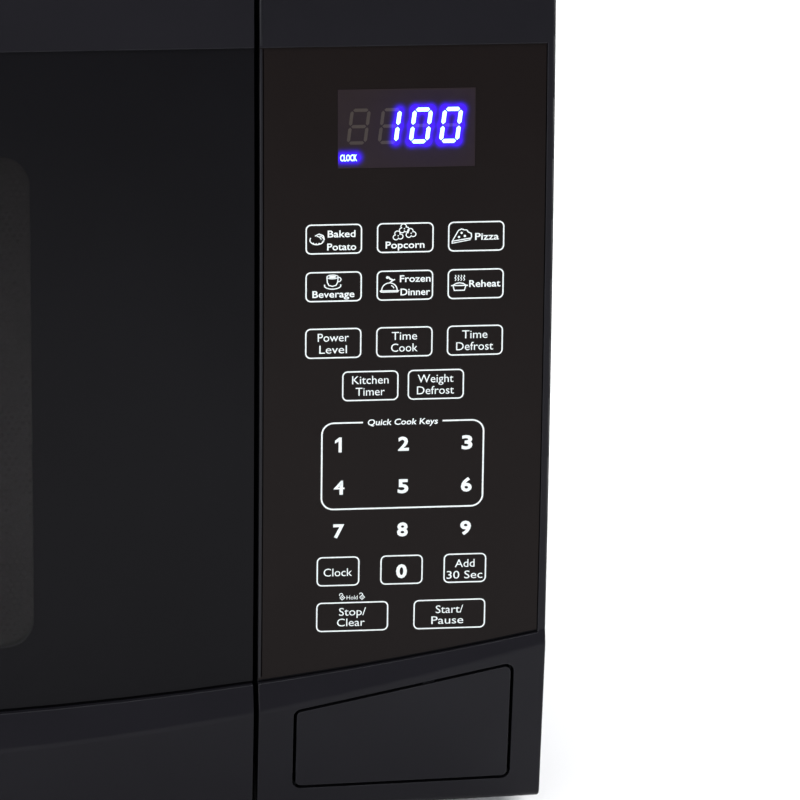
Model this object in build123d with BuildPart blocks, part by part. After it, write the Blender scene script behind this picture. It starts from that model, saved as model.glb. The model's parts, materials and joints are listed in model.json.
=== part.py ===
"""Countertop microwave oven, 0.9 cubic foot class, with its door, catch, controls, turntable and power parts.

Frame: millimetres, +X to the right seen from the front, +Y to the back, +Z up. The origin is under the middle
of the oven, on the surface that the feet stand on.
"""
from build123d import *
from math import cos, radians, sin, sqrt
import os

os.makedirs("parts", exist_ok=True)

# ---------------------------------------------------------------- driving dimensions
WIDTH = 483.0
DEPTH = 394.0            # front of the chin to the back of the cord gland
HEIGHT = 281.0
FOOT_HEIGHT = 10.0
SHEET = 0.8              # steel sheet of the casing and the cavity
SIDE = WIDTH / 2
CHIN_PROUD = 2.19        # the chin's crest stands this far before the front plane
FRONT = -DEPTH / 2 + CHIN_PROUD          # front plane, touched by the crown of the door and panel
BACK = DEPTH / 2

# front moulding: crowned from top to bottom, with a curved groove and a bowed chin below it
CROWN_R = 1850.0
CROWN_Z = 150.0
SMILE_R = 1200.0         # radius of the curved groove, seen from the front
SMILE_Z = 44.4           # lowest point of the groove
GROOVE = 1.0
BAND_Z = 259.3           # lower edge of the top band
CHIN_EDGE = 1.5          # the chin's cone starts this far behind the front plane
CONE_SLOPE = 3.1         # millimetres of radius for each millimetre forward
CHIN_LEAN = 0.15         # the chin falls back this much for each millimetre down
CHIN_BOW = 7.4           # how far the chin's middle stands before its ends
CHIN_SIDE = 0.5          # depth of the chin's ends behind the front plane, at CHIN_TOP
CHIN_TOP = 64.0

# door and control panel, on each side of one gap
DOOR_RIGHT = 148.7
PANEL_LEFT = 150.4
PLATE_Y = -166.0         # front face of the steel front plate
DOOR_BACK = -167.9
STRIP = 2.5              # frame that shows beside the glass and beside the overlay
GLASS_DEPTH = 0.5
GLASS = 3.0
WINDOW = (-172.8, 80.0, 68.0, 227.0)     # left, right, bottom, top
WINDOW_R = 9.3

# hinge, catch and release button
HINGE_X = -236.5
HINGE_Y = -175.0
HINGE_PIN_R = 3.0
RUNNING = 0.06           # radial clearance of every running fit
HOOK_X = (140.0, 145.0)
HOOK_Z = (52.0, 196.0)   # underside of each hook's shank
HOOK_TIP = -143.0
BUTTON_X = (161.4, 231.6)                # opening in the panel
BUTTON_Z = (17.6, 45.5, 59.2)            # its bottom, its top at the left and its top at the right
BUTTON_GAP = 1.1
PIVOT_X = 168.0
PIVOT_Y = FRONT + 8.5
ROCKER_Y = -137.0
ROCKER_Z = 34.0

# cavity and turntable
CAVITY_X = (-216.4, 123.6)
CAVITY_Y = (PLATE_Y + SHEET, 178.0)
CAVITY_Z = (34.0, 252.0)
TABLE_X = sum(CAVITY_X) / 2
TABLE_Y = sum(CAVITY_Y) / 2
PAN_R = 118.0
PAN_DROP = 2.0
RING_R = 100.0           # circle that the rollers run on
ROLLER_R = 7.0
TRAY_R = 144.0
TRAY_Z = CAVITY_Z[0] - PAN_DROP + 2 * ROLLER_R
SHAFT_R = 3.5

# casing
COVER_SIDE = 240.0
COVER_TOP = 279.5
BASE_Z = FOOT_HEIGHT
REAR_Y = 191.0           # outside of the rear panel
FOOT_X = 205.0
FOOT_Y = (-140.0, 150.0)

# control panel
DISPLAY = (174.2, 217.0, 221.1, 246.0)   # left, right, bottom, top
OVERLAY_DEPTH = 0.4
OVERLAY = 1.2
MEMBRANE = 0.6
POCKET = OVERLAY_DEPTH + OVERLAY + MEMBRANE
BOARD_Y = FRONT + 15.0

# power parts in the equipment bay, right of the cavity
BAY_LEFT = CAVITY_X[1] + SHEET
GUIDE_WALL = 1.0
WAVEGUIDE = (BAY_LEFT, 152.0, -10.0, 95.0, 160.0, 238.0)
MAGNETRON_Y = 62.0
MAGNETRON_Z = 199.0
FAN_X = 183.2
FAN_Y = 150.0
FAN_Z = 190.0
FAN_R = 52.0
GLAND_X = 205.0
GLAND_Z = 45.0
GLAND_BORE = 3.75


# ---------------------------------------------------------------- helpers
def block(x, y, z, mode=Mode.ADD):
    """Adds a box to the part being built, from its limits along each axis."""
    with Locations(((x[0] + x[1]) / 2, (y[0] + y[1]) / 2, (z[0] + z[1]) / 2)):
        Box(x[1] - x[0], y[1] - y[0], z[1] - z[0], mode=mode)


def rod(base, direction, radius, length, mode=Mode.ADD):
    """Adds a round bar to the part being built, from the middle of one end."""
    with Locations(Plane(origin=base, z_dir=direction)):
        Cylinder(radius, length, align=(Align.CENTER, Align.CENTER, Align.MIN), mode=mode)


def facing(y):
    """A sketch plane at depth y that looks out of the front: its x is +X and its y is +Z."""
    return Plane(origin=(0, y, 0), x_dir=(1, 0, 0), z_dir=(0, -1, 0))


def write(piece, node):
    """Names a finished piece and writes it as its own STEP file."""
    piece.part.label = node
    export_step(piece.part, f"parts/{node}.step")


def crown_y(z, depth=0.0):
    """Y of the surface that lies the given depth behind the crown, at height z."""
    return FRONT + CROWN_R - sqrt((CROWN_R - depth) ** 2 - (z - CROWN_Z) ** 2)


def crown_slab(x, z, front, back):
    """Adds a sheet that follows the crown between two depths behind it."""
    with BuildSketch(Plane.YZ.offset(x[0])) as section:
        with BuildLine():
            outer = [(crown_y(h, front), h) for h in (z[0], sum(z) / 2, z[1])]
            inner = [(crown_y(h, back), h) for h in (z[1], sum(z) / 2, z[0])]
            ThreePointArc(*outer)
            Line(outer[2], inner[0])
            ThreePointArc(*inner)
            Line(inner[2], outer[0])
        make_face()
    extrude(section.sketch, amount=x[1] - x[0])


def above_groove(gap):
    """Keeps only what lies above the curved groove, at the given distance from it."""
    with Locations(Plane(origin=(0, FRONT - 20, SMILE_Z + SMILE_R), z_dir=(0, 1, 0))):
        Cylinder(SMILE_R - gap, 80, align=(Align.CENTER, Align.CENTER, Align.MIN), mode=Mode.INTERSECT)


def rounded_opening(rectangle, y, depth, radius, mode=Mode.SUBTRACT):
    """Cuts a rounded rectangle (left, right, bottom, top) from depth y towards the back."""
    left, right, bottom, top = rectangle
    with BuildSketch(facing(y)) as opening:
        with Locations(((left + right) / 2, (bottom + top) / 2)):
            RectangleRounded(right - left, top - bottom, radius)
    extrude(opening.sketch, amount=-depth, mode=mode)


# ---------------------------------------------------------------- shape of the whole front
FORM_BACK = PLATE_Y
EDGE_R = 0.8
with BuildPart() as crown_form:
    crown_slab((-SIDE, SIDE), (BASE_Z, HEIGHT), 0, 30)
    block((-SIDE, SIDE), (FRONT + 12, FORM_BACK), (BASE_Z, HEIGHT))
    front_face = crown_form.faces().filter_by(Axis.Z, reverse=True).sort_by(Axis.Y)[0]
    fillet([e for e in front_face.edges() if e.center().Z > BASE_Z + 1], EDGE_R)
    above_groove(0)

with BuildPart() as chin_form:
    lean = Plane(origin=(0, FRONT + CHIN_SIDE, CHIN_TOP), x_dir=(1, 0, 0), z_dir=(0, -CHIN_LEAN, 1))
    with BuildSketch(lean):
        with BuildLine():
            ThreePointArc((-SIDE, 0), (0, -CHIN_BOW), (SIDE, 0))
            Polyline((SIDE, 0), (SIDE, 40), (-SIDE, 40), (-SIDE, 0))
        make_face()
    extrude(amount=10)
    extrude(chin_form.faces().sort_by(Axis.Z)[0], amount=65)
    block((-SIDE, SIDE), (FRONT - 20, FORM_BACK), (BASE_Z, 2 * CHIN_TOP), mode=Mode.INTERSECT)
    smile = Plane(origin=(0, FRONT + CHIN_EDGE + 40, SMILE_Z + SMILE_R), x_dir=(0, 0, 1), z_dir=(0, -1, 0))
    with Locations(smile):
        Cone(SMILE_R - 40 * CONE_SLOPE, SMILE_R + 20 * CONE_SLOPE, 60,
             align=(Align.CENTER, Align.CENTER, Align.MIN), mode=Mode.SUBTRACT)
    fillet(chin_form.edges().filter_by(GeomType.LINE, reverse=True).sort_by(Axis.Y)[0], 4.0)
    fillet(chin_form.edges().filter_by(GeomType.ELLIPSE).sort_by(SortBy.LENGTH)[-1], 3.0)
    ends = [e for e in chin_form.edges() if abs(e.center().X) > SIDE - 0.5]
    fillet([e for e in ends if e.center().Y < FRONT + 8], EDGE_R)

with BuildPart() as front_form:
    add(crown_form.part)
    add(chin_form.part)


def front_section(x, back):
    """Adds the stretch of the front moulding between two values of X, down to depth back."""
    with BuildPart(mode=Mode.PRIVATE) as stretch:
        add(front_form.part)
        block(x, (FRONT - 20, back), (0, HEIGHT + 10), mode=Mode.INTERSECT)
    add(stretch.part)


def hollow(x, z, wall):
    """Cuts a hollow from the back that follows the front at the given wall thickness."""
    with BuildPart(mode=Mode.PRIVATE) as core:
        with Locations((0, wall, 0)):
            add(front_form.part)
        block(x, (FRONT - 20, FORM_BACK + 1), z, mode=Mode.INTERSECT)
        block(x, (FRONT + wall + 15, FORM_BACK + 1), z)
    add(core.part, mode=Mode.SUBTRACT)


def pocket(x, depth):
    """Cuts the recess above the groove that takes the glass or the overlay."""
    with BuildPart(mode=Mode.PRIVATE) as recess:
        crown_slab(x, (0, BAND_Z), -20, depth)
        above_groove(0)
    add(recess.part, mode=Mode.SUBTRACT)


def plate(x, y, z, corner=0.0):
    """Adds a flat sheet that faces the front, with rounded corners if a radius is given."""
    with BuildSketch(facing(y[0])) as outline:
        with Locations(((x[0] + x[1]) / 2, (z[0] + z[1]) / 2)):
            if corner:
                RectangleRounded(x[1] - x[0], z[1] - z[0], corner)
            else:
                Rectangle(x[1] - x[0], z[1] - z[0])
    extrude(outline.sketch, amount=y[0] - y[1])


def vents(centre, normal, slot, pitch, count):
    """Cuts a grid of upright round-ended slots through a sheet."""
    across = (0, 1, 0) if normal[0] else (1, 0, 0)
    with BuildSketch(Plane(origin=centre, x_dir=across, z_dir=normal)) as grid:
        with GridLocations(*pitch, *count):
            SlotOverall(*slot, rotation=90)
    extrude(grid.sketch, amount=2, both=True, mode=Mode.SUBTRACT)


# ---------------------------------------------------------------- door
INNER_LEFT = -SIDE + 2.5
INNER_RIGHT = DOOR_RIGHT - 2.5
HINGE_TABS = ((22.0, 24.0, 1), (268.0, 270.0, -1))      # bottom, top and pin direction of each hinge tab
SOCKET_R = 5.0
SOCKET_LENGTH = 12.0
PIN_LENGTH = 9.0
BAR_Y = (-184.0, -173.0)
BAR_Z = (46.0, 212.0)
SPRING_Z = (22.0, 44.0)
SPRING_Y = -178.5
SPRING_CLEAR = 3.2      # half the gap between the bar's two rest ledges, which the spring passes through

with BuildPart() as door_frame:
    front_section((-SIDE, DOOR_RIGHT), DOOR_BACK)
    pocket((-SIDE + STRIP, SIDE), GLASS_DEPTH + GLASS)
    hollow((INNER_LEFT, INNER_RIGHT), (BASE_Z + 3, HEIGHT - 3), 6.0)
    for low, high, up in HINGE_TABS:
        end = high + 0.5 if up > 0 else low - 0.5
        rod((HINGE_X, HINGE_Y, end), (0, 0, up), SOCKET_R, SOCKET_LENGTH)
        base = end + up * SOCKET_LENGTH if up < 0 else end
        block((-SIDE, HINGE_X), (HINGE_Y - SOCKET_R, HINGE_Y + SOCKET_R), (base, base + SOCKET_LENGTH))
        rod((HINGE_X, HINGE_Y, end), (0, 0, up), HINGE_PIN_R + RUNNING, PIN_LENGTH + 1, mode=Mode.SUBTRACT)
        notch = (low - 1.5, high + 0.5 if up > 0 else high + 1.5)
        block((-SIDE - 1, HINGE_X + 8), (HINGE_Y - 8, DOOR_BACK + 1), notch, mode=Mode.SUBTRACT)
    rounded_opening(WINDOW, FRONT - 5, 30, WINDOW_R)
    block((HOOK_X[0], INNER_RIGHT), (SPRING_Y - 4, SPRING_Y + 4), (SPRING_Z[0] - 3, SPRING_Z[0]))
    for y in ((BAR_Y[0], SPRING_Y - SPRING_CLEAR), (SPRING_Y + SPRING_CLEAR, BAR_Y[1])):
        block((HOOK_X[1] - 1, INNER_RIGHT), y, (BAR_Z[0] - 2.2, BAR_Z[0] - 0.2))
write(door_frame, "door_frame")

with BuildPart() as door_glass:
    crown_slab((-SIDE + STRIP + 0.15, DOOR_RIGHT), (SMILE_Z, BAND_Z - 0.15), GLASS_DEPTH, GLASS_DEPTH + GLASS)
    above_groove(GROOVE)
write(door_glass, "door_glass")

# pressed steel screen: a flat window sheet inside a choke channel that opens to the back
CHOKE_X = (-231.0, -213.0, 120.0, 138.0)
CHOKE_Z = (19.0, 37.0, 249.0, 267.0)
SCREEN_Y = -171.0
CHOKE_DEPTH = 11.0
with BuildPart() as door_screen:
    plate((CHOKE_X[0], CHOKE_X[3]), (SCREEN_Y - CHOKE_DEPTH, SCREEN_Y), (CHOKE_Z[0], CHOKE_Z[3]))
    block((CHOKE_X[1] + SHEET, CHOKE_X[2] - SHEET), (SCREEN_Y - 20, SCREEN_Y - SHEET),
          (CHOKE_Z[1] + SHEET, CHOKE_Z[2] - SHEET), mode=Mode.SUBTRACT)
    with BuildSketch(facing(SCREEN_Y + 1)) as channel:
        with Locations(((CHOKE_X[0] + CHOKE_X[3]) / 2, (CHOKE_Z[0] + CHOKE_Z[3]) / 2)):
            Rectangle(CHOKE_X[3] - CHOKE_X[0] - 2 * SHEET, CHOKE_Z[3] - CHOKE_Z[0] - 2 * SHEET)
        with Locations(((CHOKE_X[1] + CHOKE_X[2]) / 2, (CHOKE_Z[1] + CHOKE_Z[2]) / 2)):
            Rectangle(CHOKE_X[2] - CHOKE_X[1], CHOKE_Z[2] - CHOKE_Z[1], mode=Mode.SUBTRACT)
    extrude(channel.sketch, amount=CHOKE_DEPTH - SHEET + 1, mode=Mode.SUBTRACT)
write(door_screen, "door_screen")

FILM = 0.4
LIP_X = (-206.0, 113.0)
LIP_Z = (44.0, 242.0)
with BuildPart() as door_inner_film:
    plate((LIP_X[0] - 4, LIP_X[1] + 4), (SCREEN_Y, SCREEN_Y + FILM), (LIP_Z[0] - 4, LIP_Z[1] + 4), 10)
write(door_inner_film, "door_inner_film")

COVER_Y = (SCREEN_Y + FILM, -167.0)
with BuildPart() as choke_cover:
    plate((INNER_LEFT + 0.3, INNER_RIGHT - 0.3), COVER_Y, (BASE_Z + 3.3, HEIGHT - 3.3))
    block((CHOKE_X[1] - 1, CHOKE_X[2] + 1), (SCREEN_Y, COVER_Y[1] - 1.8), (CHOKE_Z[1] - 1, CHOKE_Z[2] + 1),
          mode=Mode.SUBTRACT)
    block((LIP_X[0] - 4, LIP_X[1] + 4), (COVER_Y[0], COVER_Y[1] - 1.8), (LIP_Z[0] - 4, LIP_Z[1] + 4))
    fillet(choke_cover.edges().filter_by(Axis.Y).filter_by(lambda e: abs(e.center().X) > 230), 1.5)
    rounded_opening((*LIP_X, *LIP_Z), COVER_Y[0] - 1, 8, 12)
    for z in HOOK_Z:
        block((HOOK_X[0] - 1, HOOK_X[1] + 0.6), (COVER_Y[0] - 1, COVER_Y[1] + 1), (z - 5, z + 13),
              mode=Mode.SUBTRACT)
    for low, high, up in HINGE_TABS:
        end = (BASE_Z, 40) if up > 0 else (HEIGHT - 28, HEIGHT)
        block((-SIDE, HINGE_X + 6), (COVER_Y[0] - 1, COVER_Y[1] + 1), end, mode=Mode.SUBTRACT)
write(choke_cover, "choke_cover")

# ---------------------------------------------------------------- catch: a sprung bar with two hooks
SHANK = 7.0
BARB = 4.0
BARB_LENGTH = 7.0
with BuildPart() as latch_hooks:
    block(HOOK_X, BAR_Y, BAR_Z)
    for z in HOOK_Z:
        with BuildSketch(Plane.YZ.offset(HOOK_X[0])):
            with BuildLine():
                Polyline((BAR_Y[1] - 1, z), (HOOK_TIP - BARB_LENGTH, z), (HOOK_TIP - BARB_LENGTH, z - BARB),
                         (HOOK_TIP - 3, z - BARB), (HOOK_TIP, z - 1), (HOOK_TIP, z + SHANK),
                         (BAR_Y[1] - 1, z + SHANK), close=True)
            make_face()
        extrude(amount=HOOK_X[1] - HOOK_X[0])
    block((HOOK_X[0] + 1.5, HOOK_X[1] - 1.5), (SPRING_Y - 3, SPRING_Y + 3), (SPRING_Z[1], BAR_Z[0]))
write(latch_hooks, "latch_hooks")

with BuildPart() as latch_spring:
    coils = 7
    length = SPRING_Z[1] - SPRING_Z[0]
    with BuildLine(Plane.XY.offset(SPRING_Z[0] + 0.5)):
        Helix((length - 1) / coils, length - 1, 2.2)
    with BuildSketch(Plane(origin=(2.2, 0, SPRING_Z[0] + 0.5), x_dir=(1, 0, 0), z_dir=(0, 1, 0))):
        Circle(0.4)
    sweep()
latch_spring.part.locate(Location(((HOOK_X[0] + HOOK_X[1]) / 2, SPRING_Y, 0)))
write(latch_spring, "latch_spring")

# ---------------------------------------------------------------- control panel
PANEL_RIGHT = SIDE - STRIP
POST_X = 205.0
POST_Z = 50.0
POST_R = 3.5
LUGS = ((13.0, 16.6), (48.2, 52.2))      # heights of the lugs that hold the button's pivot pins
PIN_R = 2.0
BOARD_X = (155.0, 236.0)
BOARD_Z = (72.0, 258.0)
BOARD_POSTS = [(x, z) for x in (BOARD_X[0] + 5, BOARD_X[1] - 5) for z in (BOARD_Z[0] + 5, BOARD_Z[1] - 5)]


def button_outline(inset):
    """The release button's four-sided outline with rounded corners, set in by the given amount."""
    with BuildSketch(facing(FRONT + 30)) as outline:
        with BuildLine():
            Polyline((BUTTON_X[0], BUTTON_Z[0]), (BUTTON_X[1], BUTTON_Z[0]), (BUTTON_X[1], BUTTON_Z[2]),
                     (BUTTON_X[0], BUTTON_Z[1]), close=True)
        make_face()
        fillet(outline.vertices(), 2.8)
        if inset:
            offset(amount=-inset)
    return outline.sketch


with BuildPart() as control_housing:
    front_section((PANEL_LEFT, SIDE), PLATE_Y)
    pocket((0, PANEL_RIGHT), POCKET)
    hollow((PANEL_LEFT + 2.5, SIDE - 2.5), (BASE_Z + 3, HEIGHT - 3), 6.0)
    rounded_opening((DISPLAY[0] + 1, DISPLAY[1] - 1, DISPLAY[2] + 1, DISPLAY[3] - 1), FRONT - 5, 20, 1.0)
    extrude(button_outline(0), amount=60, mode=Mode.SUBTRACT)
    for low, high in LUGS:
        block((PIVOT_X - 5, PIVOT_X + 5), (PIVOT_Y - 3.5, PIVOT_Y + 4.5), (low, high))
        block((PANEL_LEFT + 2, PIVOT_X - 3), (PIVOT_Y - 3.5, PIVOT_Y + 4.5), (low, high))
    for low, high in ((LUGS[0][0], BUTTON_Z[0] + 1), (BUTTON_Z[1] - 1, LUGS[1][1])):
        rod((PIVOT_X, PIVOT_Y, low), (0, 0, 1), PIN_R + RUNNING, high - low, mode=Mode.SUBTRACT)
    for x, z in BOARD_POSTS:
        rod((x, BOARD_Y, z), (0, -1, 0), 3.0, BOARD_Y - crown_y(z, 5))
write(control_housing, "control_housing")

with BuildPart() as control_overlay:
    crown_slab((PANEL_LEFT, PANEL_RIGHT - 0.3), (SMILE_Z, BAND_Z - 0.15),
               OVERLAY_DEPTH, OVERLAY_DEPTH + OVERLAY)
    above_groove(GROOVE)
    rounded_opening(DISPLAY, FRONT - 5, 20, 0.3)
write(control_overlay, "control_overlay")

with BuildPart() as display_window:
    crown_slab((DISPLAY[0] + 0.1, DISPLAY[1] - 0.1), (DISPLAY[2] + 0.1, DISPLAY[3] - 0.1),
               OVERLAY_DEPTH + 0.02, POCKET - 0.02)
write(display_window, "display_window")

with BuildPart() as key_membrane:
    crown_slab((158, 232), (70, 212), OVERLAY_DEPTH + OVERLAY + 0.02, POCKET - 0.02)
write(key_membrane, "key_membrane")

with BuildPart() as led_display:
    middle_x = (DISPLAY[0] + DISPLAY[1]) / 2
    middle_z = (DISPLAY[2] + DISPLAY[3]) / 2
    block((middle_x - 19, middle_x + 19), (FRONT + 6, BOARD_Y), (middle_z - 9.5, middle_z + 9.5))
write(led_display, "led_display")

BOARD_BACK = BOARD_Y + 1.6
with BuildPart() as control_board:
    block(BOARD_X, (BOARD_Y, BOARD_Y + 1.6), BOARD_Z)
    for x, z in BOARD_POSTS:
        rod((x, BOARD_Y - 1, z), (0, 1, 0), 1.5, 4, mode=Mode.SUBTRACT)
    for z in (190, 214):
        block((200, 228), (BOARD_BACK, BOARD_BACK + 15), (z, z + 12))
    rod((172, BOARD_BACK, 150), (0, 1, 0), 7, 8)
    rod((172, BOARD_BACK + 6, 150), (0, 1, 0), 1.5, 3, mode=Mode.SUBTRACT)
write(control_board, "control_board")

with BuildPart() as board_transformer:
    block((162, 194), (BOARD_BACK, BOARD_BACK + 26), (190, 218))
    block((166, 190), (BOARD_BACK + 2, BOARD_BACK + 24), (184, 224))
    fillet(board_transformer.edges().filter_by(Axis.Z), 1.0)
write(board_transformer, "board_transformer")

def hollow_button(front_wall, side_wall):
    """Cuts the release button's hollow, which follows its front face and its outline."""
    with BuildPart(mode=Mode.PRIVATE) as core:
        with Locations((0, front_wall, 0)):
            add(front_form.part)
        extrude(button_outline(BUTTON_GAP + side_wall), amount=60, mode=Mode.INTERSECT)
    add(core.part, mode=Mode.SUBTRACT)


with BuildPart() as release_button:
    front_section((BUTTON_X[0] - 5, BUTTON_X[1] + 5), FRONT + 11)
    extrude(button_outline(BUTTON_GAP), amount=60, mode=Mode.INTERSECT)
    hollow_button(2.5, 2.0)
    for low, high in ((BUTTON_Z[0] + BUTTON_GAP, 25.0), (37.0, BUTTON_Z[1] - BUTTON_GAP - 1)):
        rod((PIVOT_X, PIVOT_Y, low), (0, 0, 1), 3.2, high - low)
        block((PIVOT_X - 3, PIVOT_X + 3), (FRONT + 4.5, PIVOT_Y), (low, high))
    pin_low = LUGS[0][0] + 0.5
    rod((PIVOT_X, PIVOT_Y, pin_low), (0, 0, 1), PIN_R, LUGS[1][1] - 0.5 - pin_low)
    rod((POST_X, FRONT + 1.5, POST_Z), (0, 1, 0), POST_R, ROCKER_Y - 3 - 0.3 - POST_R - FRONT - 1.5)
    with Locations((POST_X, ROCKER_Y - 3 - 0.3 - POST_R, POST_Z)):
        Sphere(POST_R)
    block((POST_X - 1, POST_X + 1), (FRONT + 4, FRONT + 14), (POST_Z - 12, POST_Z + 2))
write(release_button, "release_button")

with BuildPart() as button_spring:
    with BuildLine(Plane.XY.offset(26)):
        Helix(1.4, 9.8, 2.65)
    with BuildSketch(Plane(origin=(2.65, 0, 26), x_dir=(1, 0, 0), z_dir=(0, 1, 0))):
        Circle(0.4)
    sweep()
    for height in (26, 35.8):
        with Locations((2.65, -0.3, height)):
            Box(0.7, 7, 0.7, align=(Align.CENTER, Align.MIN, Align.CENTER))
button_spring.part.locate(Location((PIVOT_X, PIVOT_Y, 0)))
write(button_spring, "button_spring")

# ---------------------------------------------------------------- latch board, switches and release lever
BOARD_WALL = (PLATE_Y + SHEET, PLATE_Y + SHEET + 2.5)
LEDGE_Y = (HOOK_TIP - BARB_LENGTH - 6.0, HOOK_TIP - BARB_LENGTH - 1.0)
SLOT_X = (HOOK_X[0] - 1.8, HOOK_X[1] + 1.8)
SIDE_WALL = (149.2, 152.0)
POST_SLOT = ((POST_X - 12, POST_X + 7), (POST_Z - 7, POST_Z + 7))
LEVER_R = 3.0
LEVER_LUG = (188.0, 191.0)
with BuildPart() as latch_board:
    block((132, 158), BOARD_WALL, (24, 226))
    block((157, 218), BOARD_WALL, (24, 66))
    for z in HOOK_Z:
        block(SLOT_X, (PLATE_Y, BOARD_WALL[1] + 1), (z - 5, z + 13), mode=Mode.SUBTRACT)
        block(SIDE_WALL, (BOARD_WALL[0], -126), (z - 26, z + 18))
        block((HOOK_X[0] + 2.9, SIDE_WALL[1]), LEDGE_Y, (z - 5.3, z - 0.3))
    block(LEVER_LUG, (BOARD_WALL[0], ROCKER_Y + 6), (ROCKER_Z - 6, ROCKER_Z + 6))
    rod((130, ROCKER_Y, ROCKER_Z), (1, 0, 0), LEVER_R + RUNNING, 80, mode=Mode.SUBTRACT)
    block(POST_SLOT[0], (PLATE_Y, BOARD_WALL[1] + 1), POST_SLOT[1], mode=Mode.SUBTRACT)
write(latch_board, "latch_board")

SWITCH_X = (143.0, SIDE_WALL[0])
PLUNGER_X = 144.1
PLUNGER_R = 0.8
SWITCH_FACE = HOOK_TIP + 1.5
MONITOR_Y = (-154.5, -140.5)
MONITOR_TOP = HOOK_Z[0] - BARB - 1.7
with BuildPart() as door_switches:
    for z in HOOK_Z:
        block(SWITCH_X, (SWITCH_FACE, SWITCH_FACE + 10), (z - 4, z + 14))
        rod((PLUNGER_X, SWITCH_FACE - 1, z + 1.5), (0, 1, 0), PLUNGER_R + RUNNING, 8, mode=Mode.SUBTRACT)
        for blade_z in (z - 1, z + 5, z + 11):
            block((SWITCH_X[0] + 2, SWITCH_X[0] + 2.6), (SWITCH_FACE + 10, SWITCH_FACE + 16),
                  (blade_z - 1.5, blade_z + 1.5))
    block(SWITCH_X, MONITOR_Y, (MONITOR_TOP - 10, MONITOR_TOP))
    rod((PLUNGER_X, -146.5, MONITOR_TOP + 1), (0, 0, -1), PLUNGER_R + RUNNING, 8, mode=Mode.SUBTRACT)
write(door_switches, "door_switches")

with BuildPart() as hook_plungers:
    for z in HOOK_Z:
        rod((PLUNGER_X, HOOK_TIP + 0.1, z + 1.5), (0, 1, 0), PLUNGER_R, 7)
write(hook_plungers, "hook_plungers")

with BuildPart() as monitor_plunger:
    rod((PLUNGER_X, -146.5, HOOK_Z[0] - BARB - 0.1), (0, 0, -1), PLUNGER_R, 7)
write(monitor_plunger, "monitor_plunger")

with BuildPart() as release_lever:
    rod((136, ROCKER_Y, ROCKER_Z), (1, 0, 0), LEVER_R, 78)
    rod((192, ROCKER_Y, ROCKER_Z), (1, 0, 0), LEVER_R + 2, 20)
    block((197, 212), (ROCKER_Y - 3, ROCKER_Y + 1), (ROCKER_Z, ROCKER_Z + 23))
    with BuildSketch(Plane.YZ.offset(HOOK_X[0] - 0.1)):
        with BuildLine():
            nose = (-161.0, -157.5)
            Polyline((ROCKER_Y, ROCKER_Z - 3), (nose[0], ROCKER_Z - 3), (nose[0], HOOK_Z[0] - 0.3),
                     (nose[1], HOOK_Z[0] - 0.3), (nose[1], ROCKER_Z + 3), (ROCKER_Y, ROCKER_Z + 3),
                     close=True)
        make_face()
    extrude(amount=2.5)
write(release_lever, "release_lever")

# ---------------------------------------------------------------- casing
with BuildPart() as front_plate:
    plate((-238, 238), (PLATE_Y, PLATE_Y + SHEET), (BASE_Z + 1, COVER_TOP - 1.5), 4)
    for x in (-238, 237.2):
        block((x, x + SHEET), (PLATE_Y, PLATE_Y + 10), (BASE_Z + 8, COVER_TOP - 10))
    block((-225, 225), (PLATE_Y, PLATE_Y + 10), (COVER_TOP - 1.5 - SHEET, COVER_TOP - 1.5))
    rounded_opening((*CAVITY_X, *CAVITY_Z), PLATE_Y - 1, 3, 6)
    rounded_opening((156, 234, 75, 262), PLATE_Y - 1, 3, 4)
    for z in HOOK_Z:
        block(SLOT_X, (PLATE_Y - 1, PLATE_Y + 2), (z - 5, z + 13), mode=Mode.SUBTRACT)
    block(POST_SLOT[0], (PLATE_Y - 1, PLATE_Y + 2), POST_SLOT[1], mode=Mode.SUBTRACT)
write(front_plate, "front_plate")

HINGE_EYE_R = 4.5
HINGE_ARM = 5.5
HINGE_FLANGE = (HINGE_X + 3.2, HINGE_X + 14)    # clear of the door's corner as it swings
for name, (low, high, up) in zip(("lower_hinge", "upper_hinge"), HINGE_TABS):
    with BuildPart() as hinge:
        with BuildSketch(Plane.XY.offset(low)):
            with Locations((HINGE_X, HINGE_Y)):
                Circle(HINGE_EYE_R)
        extrude(amount=high - low)
        block((HINGE_X - HINGE_EYE_R, HINGE_X + HINGE_ARM), (HINGE_Y, PLATE_Y), (low, high))
        flange = (low - 14, high) if up > 0 else (low, high + 8)
        block(HINGE_FLANGE, (PLATE_Y - SHEET, PLATE_Y), flange)
        root = (HINGE_X, HINGE_Y, low if up > 0 else high)
        rod(root, (0, 0, up), HINGE_PIN_R, high - low + 0.5 + PIN_LENGTH)
    write(hinge, name)

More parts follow.
